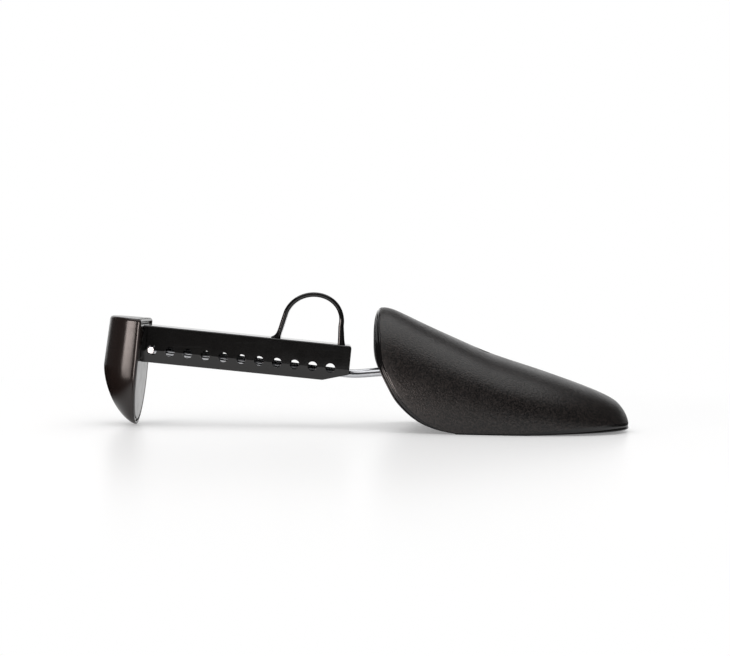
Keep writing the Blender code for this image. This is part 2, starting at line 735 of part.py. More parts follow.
def make_heel(frame, glossy, satin, steel):
    """The hollow heel shell, the plate that closes it, and the screws into the arm."""
    shell = place_mesh(
        "heel_shell", heel_form(0.0, -HOLE_TO_HEEL, HEEL_TOP), frame, glossy, angle=50.0
    )
    edge = shell.modifiers.new("top_edge", "BEVEL")
    edge.width = HEEL_EDGE_RADIUS
    edge.segments = 3
    edge.limit_method = "ANGLE"
    edge.angle_limit = math.radians(60.0)
    cavity = heel_form(HEEL_WALL, CUT_MARGIN, HEEL_TOP - HEEL_WALL)
    combine(shell, place_mesh("cut_heel_cavity", cavity, frame), "DIFFERENCE")
    rebate = prism(heel_face(HEEL_LIP), screw_seat(), CUT_MARGIN, along_x)
    combine(shell, place_mesh("cut_heel_rebate", rebate, frame), "DIFFERENCE")

    front = -HOLE_TO_HEEL - HEEL_PLATE_RECESS
    plate = place_mesh(
        "heel_plate",
        prism(heel_face(HEEL_LIP + TOUCH_GAP), front - HEEL_PLATE_THICKNESS, front, along_x),
        frame,
        satin,
    )
    seat = screw_seat()
    for name, side in (("right", -1), ("left", 1)):
        y = side * HEEL_SCREW_SPACING / 2
        hole = circle((y, HEEL_SCREW_HEIGHT), SCREW_DIAMETER + 2 * TOUCH_GAP, SCREW_SIDES)
        cutter = prism(hole, front - CUT_MARGIN, front + CUT_MARGIN, along_x)
        combine(plate, place_mesh(f"cut_plate_{name}", cutter, frame), "DIFFERENCE")
        screw = turned(
            screw_profile(HEEL_SCREW_LENGTH),
            lambda a, b, depth, y=y: (seat + depth, y + a, HEEL_SCREW_HEIGHT + b),
            SCREW_SIDES,
        )
        place_mesh(f"heel_screw_{name}", screw, frame, steel)


def heel_face(inset):
    """Outline of the heel's flat front, smaller all round by the inset."""
    half = HEEL_WIDTH / 2
    foot = arc((0.0, HEEL_TIP + half), half - inset, 180.0, 360.0, 24)
    return foot + [(half - inset, HEEL_TOP - inset), (-half + inset, HEEL_TOP - inset)]


def whole_length():
    """Distance from the back of the heel to the tip of the toe."""
    turned_height = HEEL_TAPER_HEIGHT + HEEL_TIP
    back = -(HOLE_TO_HEEL + HEEL_DEPTH) * math.cos(ARM_PITCH)
    back += turned_height * math.sin(ARM_PITCH)
    front = ARM_FRONT * math.cos(ARM_PITCH) + TOE_GAP + TOE_LENGTH
    return back, front


def build():
    """Makes every piece in its place."""
    clear_scene()
    satin = make_material("satin_black_plastic", (0.012, 0.011, 0.010), 0.42)
    grained = make_material("grained_black_plastic", (0.016, 0.014, 0.013), 0.5)
    glossy = make_material("glossy_black_plastic", (0.010, 0.009, 0.008), 0.22)
    chrome = make_material("chromed_steel", (0.75, 0.75, 0.76), 0.12, 1.0)
    zinc = make_material("zinc_plated_steel", (0.55, 0.55, 0.54), 0.35, 1.0)

    back, front = whole_length()
    hook = Vector((-(back + front) / 2, 0.0, hook_height()))
    bar = Vector((hook.x + BAR_REACH, 0.0, BAR_HEIGHT))

    toe_frame = make_frame("toe_pivot_axis", bar)
    arm_frame = make_frame("arm_swing_axis", hook, ARM_PITCH)

    make_toe_shell(toe_rear(hook), bar, toe_frame, grained)
    make_clamp(toe_frame, satin, zinc)
    make_wire(hook, bar, toe_frame, chrome)
    make_hooks(arm_frame, chrome)
    make_arm(arm_frame, satin)
    make_heel(arm_frame, glossy, satin, zinc)


build()
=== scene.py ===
"""Dresses the adjustable shoe shaper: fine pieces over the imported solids, finishes, light, floor.

Lengths are metres in the row frame: +X to the toe, +Z up, the floor at Z = 0, and the object is
the same on both sides of Y = 0. The arm and the heel are drawn in the arm's own frame, whose
origin is the axis of the hooks, whose X runs along the arm and whose Z is square to it.
"""

import json
import logging
import math
from dataclasses import dataclass
from enum import Enum
from functools import partial
from typing import Any, Callable, Sequence

import bmesh
import bpy
import numpy as np
from mathutils import Matrix, Vector

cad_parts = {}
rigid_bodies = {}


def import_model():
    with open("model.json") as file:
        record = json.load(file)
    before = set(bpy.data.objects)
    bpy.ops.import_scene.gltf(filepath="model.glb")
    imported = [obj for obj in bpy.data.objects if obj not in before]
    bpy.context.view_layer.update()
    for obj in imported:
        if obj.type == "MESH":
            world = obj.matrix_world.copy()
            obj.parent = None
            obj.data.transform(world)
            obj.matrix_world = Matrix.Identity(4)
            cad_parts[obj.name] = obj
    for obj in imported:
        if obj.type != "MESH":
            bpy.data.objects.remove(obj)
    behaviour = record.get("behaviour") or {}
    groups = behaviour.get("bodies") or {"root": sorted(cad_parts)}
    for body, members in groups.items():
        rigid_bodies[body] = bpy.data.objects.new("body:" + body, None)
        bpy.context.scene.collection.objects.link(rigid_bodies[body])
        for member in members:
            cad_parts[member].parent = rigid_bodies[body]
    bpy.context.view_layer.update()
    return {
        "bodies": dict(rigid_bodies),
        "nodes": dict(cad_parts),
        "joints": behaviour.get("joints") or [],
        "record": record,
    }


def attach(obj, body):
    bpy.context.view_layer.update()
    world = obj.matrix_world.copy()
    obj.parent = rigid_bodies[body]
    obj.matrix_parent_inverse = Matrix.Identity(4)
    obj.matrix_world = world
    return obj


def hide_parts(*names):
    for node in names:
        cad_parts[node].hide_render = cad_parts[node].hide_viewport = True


MM = 0.001
GLOSS = "polished"
SUNK = "sunk"
RIM = "rim"
BIG_FACE = 5 * MM * MM
TINY = 0.1 * MM
CURVE_STEPS = 40
DOUBLES = 1e-6
LAID_ON_X = Matrix.Rotation(math.pi / 2, 4, "Y")
LOG = logging.getLogger("shoe_shaper")

Piece = bpy.types.Object
Points = Sequence[tuple[float, float]]
Place = Sequence[float]
Marks = dict[str, np.ndarray]


class Body(Enum):
    """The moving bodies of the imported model."""

    TOE = "toe"
    WIRE = "wire"
    HOOKS = "hooks"
    ARM = "arm"


class Slot(Enum):
    """The record's material slots."""

    GRAINED = "grained_black_plastic"
    SATIN = "satin_black_plastic"
    GLOSSY = "glossy_black_plastic"
    CHROME = "chromed_steel"
    ZINC = "zinc_plated_steel"


class Side(Enum):
    """The two sides of the object, with the sign that each has along Y."""

    LEFT = 1
    RIGHT = -1


def arc(centre: tuple[float, float], radius: float, start: float, end: float, steps: int) -> np.ndarray:
    """Points of an arc, both ends included.

    Args:
        centre: Middle of the arc.
        radius: Radius of the arc.
        start: First angle in degrees.
        end: Last angle in degrees.
        steps: Number of steps between the ends.

    Returns:
        An array of steps + 1 points.
    """
    turns = np.radians(np.linspace(start, end, steps + 1))
    return np.stack([centre[0] + radius * np.cos(turns), centre[1] + radius * np.sin(turns)], axis=1)


def quarter(radius: float, count: int) -> list[tuple[float, float]]:
    """Points up a rounded edge: how far each is short of its top, and how far it is drawn in."""
    turns = np.linspace(0.0, math.pi / 2, count)
    return [(radius * (1 - math.sin(turn)), radius * (1 - math.cos(turn))) for turn in turns]


def smooth_curve(points: Points, steps: int = CURVE_STEPS) -> np.ndarray:
    """A curve through all the points.

    Args:
        points: Points that the curve passes through.
        steps: Number of steps between two of them.

    Returns:
        The curve's points, the last one included.
    """
    given = np.array(points, dtype=float)
    knots = np.vstack([2 * given[0] - given[1], given, 2 * given[-1] - given[-2]])
    share = np.linspace(0.0, 1.0, steps, endpoint=False)[:, None]
    pieces = []
    for before, start, end, after in zip(knots, knots[1:], knots[2:], knots[3:]):
        span = np.linalg.norm(end - start)
        leave = span * (end - before) / (np.linalg.norm(start - before) + span)
        arrive = span * (after - start) / (span + np.linalg.norm(after - end))
        pieces.append(
            (2 * share**3 - 3 * share**2 + 1) * start
            + (share**3 - 2 * share**2 + share) * leave
            + (3 * share**2 - 2 * share**3) * end
            + (share**3 - share**2) * arrive
        )
    return np.vstack(pieces + [given[-1:]])


def run_along(line: np.ndarray) -> np.ndarray:
    """The distance along a line of each of its points."""
    return np.append(0.0, np.cumsum(np.linalg.norm(np.diff(line, axis=0), axis=1)))


def at_runs(line: np.ndarray, run: np.ndarray, wanted: np.ndarray) -> np.ndarray:
    """The points of a line at the wanted distances along it."""
    return np.stack([np.interp(wanted, run, line[:, i]) for i in range(line.shape[1])], axis=1)


def rounded_path(corners: Sequence[Vector], radii: Sequence[float], steps: int) -> list[Vector]:
    """A path through straight runs, with each inner corner rounded.

    Args:
        corners: The path's ends and corners.
        radii: Radius of each inner corner.
        steps: Number of steps in each rounded corner.

    Returns:
        The path's points.
    """
    path = [corners[0]]
    for before, corner, after, radius in zip(corners, corners[1:], corners[2:], radii):
        come = (before - corner).normalized()
        go = (after - corner).normalized()
        half = come.angle(go) / 2
        middle = corner + (come + go).normalized() * radius / math.sin(half)
        first = corner + come * radius / math.tan(half) - middle
        last = corner + go * radius / math.tan(half) - middle
        turn = first.angle(last)
        for share in (i / steps for i in range(steps + 1)):
            from_first = first * (math.sin((1 - share) * turn) / math.sin(turn))
            path.append(middle + from_first + last * (math.sin(share * turn) / math.sin(turn)))
    return path + [corners[-1]]


def deselect() -> None:
    """Leaves edit mode and deselects everything."""
    active = bpy.context.view_layer.objects.active
    if active and active.mode != "OBJECT":
        bpy.ops.object.mode_set(mode="OBJECT")
    bpy.ops.object.select_all(action="DESELECT")


def take(piece: Piece) -> None:
    """Makes a piece the only one selected, and the active one.

    Args:
        piece: The piece.
    """
    deselect()
    piece.select_set(True)
    bpy.context.view_layer.objects.active = piece


def edit(piece: Piece, keep: Callable[[Any], bool] | None = None, kind: str = "VERT") -> None:
    """Opens a piece in edit mode with what passes a test selected.

    Args:
        piece: The piece to open.
        keep: Test of a vertex, edge or face; with none, everything is selected.
        kind: VERT, EDGE or FACE.
    """
    take(piece)
    bpy.ops.object.mode_set(mode="EDIT")
    bpy.ops.mesh.select_mode(type=kind)
    bpy.ops.mesh.select_all(action="DESELECT" if keep else "SELECT")
    if keep:
        shape = bmesh.from_edit_mesh(piece.data)
        shape.normal_update()
        for item in {"VERT": shape.verts, "EDGE": shape.edges, "FACE": shape.faces}[kind]:
            item.select = keep(item)
        if kind == "VERT":
            shape.select_flush(True)
        bmesh.update_edit_mesh(piece.data)


def modify(piece: Piece, kind: str, **settings: Any) -> None:
    """Adds a modifier to a piece and applies it.

    Args:
        piece: The piece.
        kind: Blender's name of the modifier type.
        **settings: The modifier's settings.
    """
    take(piece)
    modifier = piece.modifiers.new(kind.lower(), kind)
    for key, value in settings.items():
        setattr(modifier, key, value)
    bpy.ops.object.modifier_apply(modifier=modifier.name)


def cut(piece: Piece, cutter: Piece) -> None:
    """Cuts one piece out of another and removes the cutter."""
    modify(piece, "BOOLEAN", operation="DIFFERENCE", solver="EXACT", object=cutter)
    bpy.data.objects.remove(cutter, do_unlink=True)


def place(piece: Piece, space: Matrix) -> Piece:
    """Moves a piece's mesh by a matrix, with the object itself left at the origin.

    Args:
        piece: The piece.
        space: The matrix.

    Returns:
        The same piece.
    """
    take(piece)
    bpy.ops.object.transform_apply(location=True, rotation=True, scale=True)
    piece.data.transform(space)
    piece.data.update()
    return piece


def shaped_grid(name: str, rows: Any, closed: bool = True, marks: Marks | None = None) -> Piece:
    """A grid whose vertices are moved to rows of points.

    Args:
        name: Name of the new piece.
        rows: Points by row, column and axis. A round form repeats its first column at the end.
        closed: True to cap the open ends and make a solid.
        marks: Numbers or vectors of each point, kept as attributes of these names.

    Returns:
        The new piece, with its doubles merged and its faces pointing outwards.
    """
    rows = np.array(rows, dtype=float)
    down, across = (count - 1 for count in rows.shape[:2])
    deselect()
    bpy.ops.mesh.primitive_grid_add(x_subdivisions=across, y_subdivisions=down, size=1.0)
    piece = bpy.context.object
    piece.name = piece.data.name = name
    piece.data.vertices.foreach_set("co", rows.ravel())
    for key, values in (marks or {}).items():
        kind, field = ("FLOAT", "value") if values.ndim == 2 else ("FLOAT_VECTOR", "vector")
        mark = piece.data.attributes.new(key, kind, "POINT")
        mark.data.foreach_set(field, values.astype(float).ravel())
    edit(piece)
    bpy.ops.mesh.remove_doubles(threshold=DOUBLES)
    if closed:
        bpy.ops.mesh.fill_holes(sides=0)
    bpy.ops.mesh.normals_make_consistent(inside=False)
    bpy.ops.object.mode_set(mode="OBJECT")
    middle = Vector(rows.reshape(-1, 3).mean(axis=0))
    if sum(face.area * face.normal.dot(face.center - middle) for face in piece.data.polygons) < 0:
        piece.data.flip_normals()
    return piece


def turned(name: str, profile: Points, sides: int) -> Piece:
    """A turned solid on the Z axis.

    Args:
        name: Name of the new piece.
        profile: Radius and height of each ring.
        sides: Number of sides.

    Returns:
        The new closed piece.
    """
    turns = np.linspace(0.0, 2 * math.pi, sides + 1)
    rows = np.array([[(r * math.cos(t), r * math.sin(t), z) for t in turns] for r, z in profile])
    rows[:, -1] = rows[:, 0]
    return shaped_grid(name, rows)


def rod(radius: float, low: float, high: float, sides: int = 32) -> Piece:
    """A plain rod on the Z axis between two heights, to cut a hole with."""
    return turned("rod", ((radius, low), (radius, high)), sides)


def block(name: str, low: Place, high: Place) -> Piece:
    """A box between two corners.

    Args:
        name: Name of the new piece.
        low: The corner with the least X, Y and Z.
        high: The opposite corner.

    Returns:
        The new piece, with its place in its mesh.
    """
    deselect()
    low, high = Vector(low), Vector(high)
    bpy.ops.mesh.primitive_cube_add(size=1.0, location=(low + high) / 2, scale=high - low)
    piece = bpy.context.object
    piece.name = piece.data.name = name
    return place(piece, Matrix.Identity(4))


def flatten_big_faces(piece: Piece) -> None:
    """Gives the corners of every big face that face's own normal.

    Args:
        piece: The piece.
    """
    normals = [corner.vector.copy() for corner in piece.data.corner_normals]
    for face in piece.data.polygons:
        if face.area > BIG_FACE:
            for i in face.loop_indices:
                normals[i] = face.normal.copy()
    piece.data.normals_split_custom_set(normals)


def linear(code: str) -> tuple[float, float, float, float]:
    """Turns an sRGB colour to a linear one.

    Args:
        code: The colour, such as "#202020".

    Returns:
        Linear red, green, blue and alpha.
    """
    parts = [int(code[i : i + 2], 16) / 255 for i in (1, 3, 5)]
    red, green, blue = (p / 12.92 if p <= 0.04045 else ((p + 0.055) / 1.055) ** 2.4 for p in parts)
    return red, green, blue, 1.0


def add_node(
    tree: bpy.types.NodeTree,
    kind: str,
    settings: dict[Any, Any] | None = None,
    links: dict[Any, Any] | None = None,
    out: int | str = 0,
) -> bpy.types.NodeSocket | None:
    """Adds a shader node.

    Args:
        tree: The node tree.
        kind: Blender's name of the node type, without the ShaderNode that it starts with.
        settings: Values of the node's properties or, where it has none so named, of its inputs.
        links: The socket that each input is linked from.
        out: The output to return.

    Returns:
        That output, or nothing for a node that has none.
    """
    node = tree.nodes.new("ShaderNode" + kind)
    for key, value in (settings or {}).items():
        if isinstance(key, str) and hasattr(node, key):
            setattr(node, key, value)
        else:
            node.inputs[key].default_value = value
    for key, socket in (links or {}).items():
        tree.links.new(socket, node.inputs[key])
    return node.outputs[out] if node.outputs else None


def empty_tree(owner: bpy.types.ID) -> Callable[..., Any]:
    """Empties the node tree of a material or a world.

    Args:
        owner: The material or the world.

    Returns:
        The function that adds a node to the tree.
    """
    owner.use_nodes = True
    owner.node_tree.nodes.clear()
    return partial(add_node, owner.node_tree)


@dataclass(frozen=True)
class MouldedPlastic:
    """Black ABS, injection moulded.

    The mould's face sets the surface: a spark-eroded face leaves a fine matt grain, a stoned one
    a satin and a polished one a gloss with a faint unevenness where the plastic shrank. Grain and
    ripple are the widths of a texture's cells, and its scale is one over that.
    """

    name: str
    dark: str
    light: str
    roughness: tuple[float, float]
    ior: float
    grain: float
    grain_depth: float
    ripple: float
    ripple_depth: float
    rubbed: float
    polished: float = 0.13

    def make(self) -> bpy.types.Material:
        """Builds the material: mottled colour, uneven roughness, grain and shrinkage as bump.

        Returns:
            The material.
        """
        material = bpy.data.materials.new(self.name)
        add = empty_tree(material)
        spot = add("TexCoord", out="Object")
        polished = add("Attribute", {"attribute_name": GLOSS}, out="Fac")
        matt = add("Math", {"operation": "SUBTRACT", 0: 1.0, "use_clamp": True}, {1: polished})
        cell = add("TexNoise", {"Scale": 1 / self.grain, "Detail": 2.0, "Roughness": 0.6}, {"Vector": spot})
        grain = add("Math", {"operation": "MULTIPLY"}, {0: cell, 1: matt})
        ripple = add("TexNoise", {"Scale": 1 / self.ripple, "Detail": 2.0}, {"Vector": spot})
        speckle = add("MapRange", {"From Min": 0.40, "From Max": 0.64}, {"Value": grain})
        shades = {"data_type": "RGBA", 6: linear(self.dark), 7: linear(self.light)}
        colour = add("Mix", shades, {0: speckle}, 2)

        # Handling rubs lines of about 33 by 1.2 mm along the piece, which change its gloss alone
        drawn_out = {"Rotation": (0.0, 0.06, 0.04), "Scale": (30.0, 700.0, 900.0)}
        stretched = add("Mapping", drawn_out, {"Vector": spot})
        lines = add("TexNoise", {"Scale": 1.0, "Detail": 3.0, "Roughness": 0.7}, {"Vector": stretched})
        rub = add("MapRange", {"From Min": 0.60, "From Max": 0.72, "To Max": self.rubbed}, {"Value": lines})
        low, high = self.roughness
        uneven = {"From Min": 0.35, "From Max": 0.65, "To Min": low, "To Max": high}
        moulded = add("MapRange", uneven, {"Value": ripple})
        gloss = add("Mix", {"data_type": "FLOAT", 2: self.polished}, {0: matt, 3: moulded})
        rough = add("Math", {"operation": "ADD", "use_clamp": True}, {0: gloss, 1: rub})

        shrink = add("Bump", {"Strength": 1.0, "Distance": self.ripple_depth}, {"Height": ripple})
        heights = {"Height": grain, "Normal": shrink}
        pits = add("Bump", {"Strength": 1.0, "Distance": self.grain_depth}, heights)
        looks = {"Base Color": colour, "Roughness": rough, "Normal": pits}
        add("OutputMaterial", links={"Surface": add("BsdfPrincipled", {"IOR": self.ior}, looks)})
        return material


@dataclass(frozen=True)
class PlatedSteel:
    """Steel with a plated skin.

    Bright chrome over drawn wire mirrors the room and keeps faint lines from the drawing die.
    Zinc on a screw is greyer and cloudy. Cloud is the width of its patches.
    """

    name: str
    dark: str
    light: str
    roughness: tuple[float, float]
    cloud: float
    line_depth: float

    def make(self) -> bpy.types.Material:
        """Builds the material: cloudy colour and gloss, and drawn lines along X as bump.

        Returns:
            The material.
        """
        material = bpy.data.materials.new(self.name)
        add = empty_tree(material)
        spot = add("TexCoord", out="Object")
        cloud = add("TexNoise", {"Scale": 1 / self.cloud, "Detail": 3.0}, {"Vector": spot})
        shades = {"data_type": "RGBA", 6: linear(self.dark), 7: linear(self.light)}
        colour = add("Mix", shades, {0: cloud}, 2)
        low, high = self.roughness
        uneven = {"From Min": 0.3, "From Max": 0.7, "To Min": low, "To Max": high}
        gloss = add("MapRange", uneven, {"Value": cloud})

        # The die's lines are finer than can show, and are drawn 0.45 mm apart and 40 mm long
        stretched = add("Mapping", {"Scale": (25.0, 2200.0, 2200.0)}, {"Vector": spot})
        lines = add("TexNoise", {"Scale": 1.0, "Detail": 2.0}, {"Vector": stretched})
        drawn = add("Bump", {"Strength": 1.0, "Distance": self.line_depth}, {"Height": lines})
        looks = {"Base Color": colour, "Roughness": gloss, "Normal": drawn}
        add("OutputMaterial", links={"Surface": add("BsdfPrincipled", {"Metallic": 1.0}, looks)})
        return material


def make_finishes() -> dict[Slot, bpy.types.Material]:
    """Makes the material of each slot.

    Returns:
        The material of each slot.
    """
    recipes = {
        # The real grain is about 0.2 mm; it is drawn at 0.8 mm so that it shows in the picture
        Slot.GRAINED: MouldedPlastic(
            "abs_spark_grained", dark="#090808", light="#25201e", roughness=(0.30, 0.36), ior=1.50,
            grain=0.8 * MM, grain_depth=0.15 * MM, ripple=9.0 * MM, ripple_depth=0.02 * MM, rubbed=0.0,
        ),
        Slot.SATIN: MouldedPlastic(
            "abs_satin", dark="#0b0a0a", light="#0f0e0d", roughness=(0.09, 0.13), ior=1.54,
            grain=0.5 * MM, grain_depth=0.001 * MM, ripple=7.0 * MM, ripple_depth=0.01 * MM, rubbed=0.05,
        ),
        Slot.GLOSSY: MouldedPlastic(
            "abs_polished", dark="#17110f", light="#1c1513", roughness=(0.20, 0.24), ior=1.54,
            grain=0.6 * MM, grain_depth=0.002 * MM, ripple=6.0 * MM, ripple_depth=0.03 * MM, rubbed=0.06,
        ),
        Slot.CHROME: PlatedSteel(
            "chrome_on_drawn_wire", dark="#c3c4c8", light="#d4d5d8", roughness=(0.13, 0.20),
            cloud=4.0 * MM, line_depth=0.002 * MM,
        ),
        Slot.ZINC: PlatedSteel(
            "zinc_on_screw_steel", dark="#9c9d98", light="#bdbeb8", roughness=(0.28, 0.42),
            cloud=1.2 * MM, line_depth=0.001 * MM,
        ),
    }
    return {slot: recipe.make() for slot, recipe in recipes.items()}


@dataclass(frozen=True)
class Layout:
    """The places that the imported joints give."""

    hook: Vector
    bar: Vector
    pitch: float

    @classmethod
    def from_frame(cls, frame: dict[str, Any]) -> "Layout":
        """Reads the places.


        Returns:
            The layout.
        """
        joints = {joint["name"]: joint for joint in frame["joints"]}
        outward = joints["length_adjust"]["axis"]
        hook, bar = (Vector(joints[name]["pos_m"]) for name in ("arm_swing", "toe_pivot"))
        return cls(hook=hook, bar=bar, pitch=math.atan2(outward[2], -outward[0]))

    def arm_space(self) -> Matrix:
        """The matrix from the arm's own frame to the row frame."""
        return Matrix.Translation(self.hook) @ Matrix.Rotation(self.pitch, 4, "Y")


@dataclass(frozen=True)
class Assembly:
    """What every sub-assembly is given: the joints' places and the finishes."""

    layout: Layout
    finishes: dict[Slot, bpy.types.Material]

    def dress(
        self,
        piece: Piece,
        body: Body,
        slot: Slot,
        nodes: Sequence[str] = (),
        angle: float = 40.0,
        flat_faces: bool = False,
    ) -> None:
        """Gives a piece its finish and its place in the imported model.

        Args:
            piece: The piece.
            body: The body that it moves with.
            slot: The record's slot that it takes its finish from.
            nodes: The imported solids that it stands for.
            angle: Edges sharper than this, in degrees, stay sharp.
            flat_faces: True to keep large flat faces flat up to their rounded edges.
        """
        take(piece)
        bpy.ops.object.shade_smooth_by_angle(angle=math.radians(angle))
        if flat_faces:
            modify(piece, "WEIGHTED_NORMAL", keep_sharp=True, weight=100)
            flatten_big_faces(piece)
        piece.data.materials.clear()
        piece.data.materials.append(self.finishes[slot])
        if nodes:
            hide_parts(*nodes)
        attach(piece, body.value)
        LOG.info("%s: %d faces, rides on %s", piece.name, len(piece.data.polygons), body.value)


@dataclass(frozen=True)
class Screw:
    """A pan-head screw with a cross recess, along +Z from the seat of its head."""

    length: float
    shank: float = 1.3 * MM
    point_share: float = 0.35
    point_length: float = 0.2 * MM
    head: float = 2.5 * MM
    head_height: float = 1.8 * MM
    crown_share: float = 0.35
    rim_share: float = 0.3
    recess: float = 1.45 * MM
    recess_width: float = 0.75 * MM
    recess_depth: float = 1.2 * MM
    recess_taper: float = 0.45
    thread_pitch: float = 1.0 * MM
    thread_depth: float = 0.22 * MM
    pilot_radius: float = 1.42 * MM
    hole_radius: float = 1.6 * MM
    sides: int = 40

    def build(self, name: str) -> Piece:
        """Models the screw: a turned body, with the recess cut into its head.

        Args:
            name: Name of the new piece.

        Returns:
            The screw, with its seat at the origin.
        """
        tip = self.length - self.shank
        profile = [(0.0, self.length), (self.shank * self.point_share, self.length - self.point_length)]
        for i in range(int((tip - self.thread_pitch / 2) / self.thread_pitch)):
            crest = tip - i * self.thread_pitch
            profile += [(self.shank, crest), (self.shank - self.thread_depth, crest - self.thread_pitch / 2)]
        profile += [(self.shank, 0.0), (self.head, 0.0)]
        for across, up in arc((0.0, 0.0), 1.0, 0.0, 90.0, 10):
            radius = self.head * (self.crown_share + (1.0 - self.crown_share) * across)
            profile.append((radius, -self.head_height * (self.rim_share + (1.0 - self.rim_share) * up)))
        profile.append((0.0, -self.head_height))
        screw = turned(name, profile, self.sides)
        bottom = -self.head_height + self.recess_depth
        for wide, deep in ((self.recess, self.recess_width / 2), (self.recess_width / 2, self.recess)):
            blade = block("recess", (-wide, -deep, -self.head_height - 1.0 * MM), (wide, deep, bottom))
            edit(blade, lambda vertex: vertex.co.z > bottom - TINY)
            taper = (self.recess_taper, self.recess_taper, 1.0)
            bpy.ops.transform.resize(value=taper, center_override=(0.0, 0.0, bottom))
            cut(screw, blade)
        return screw


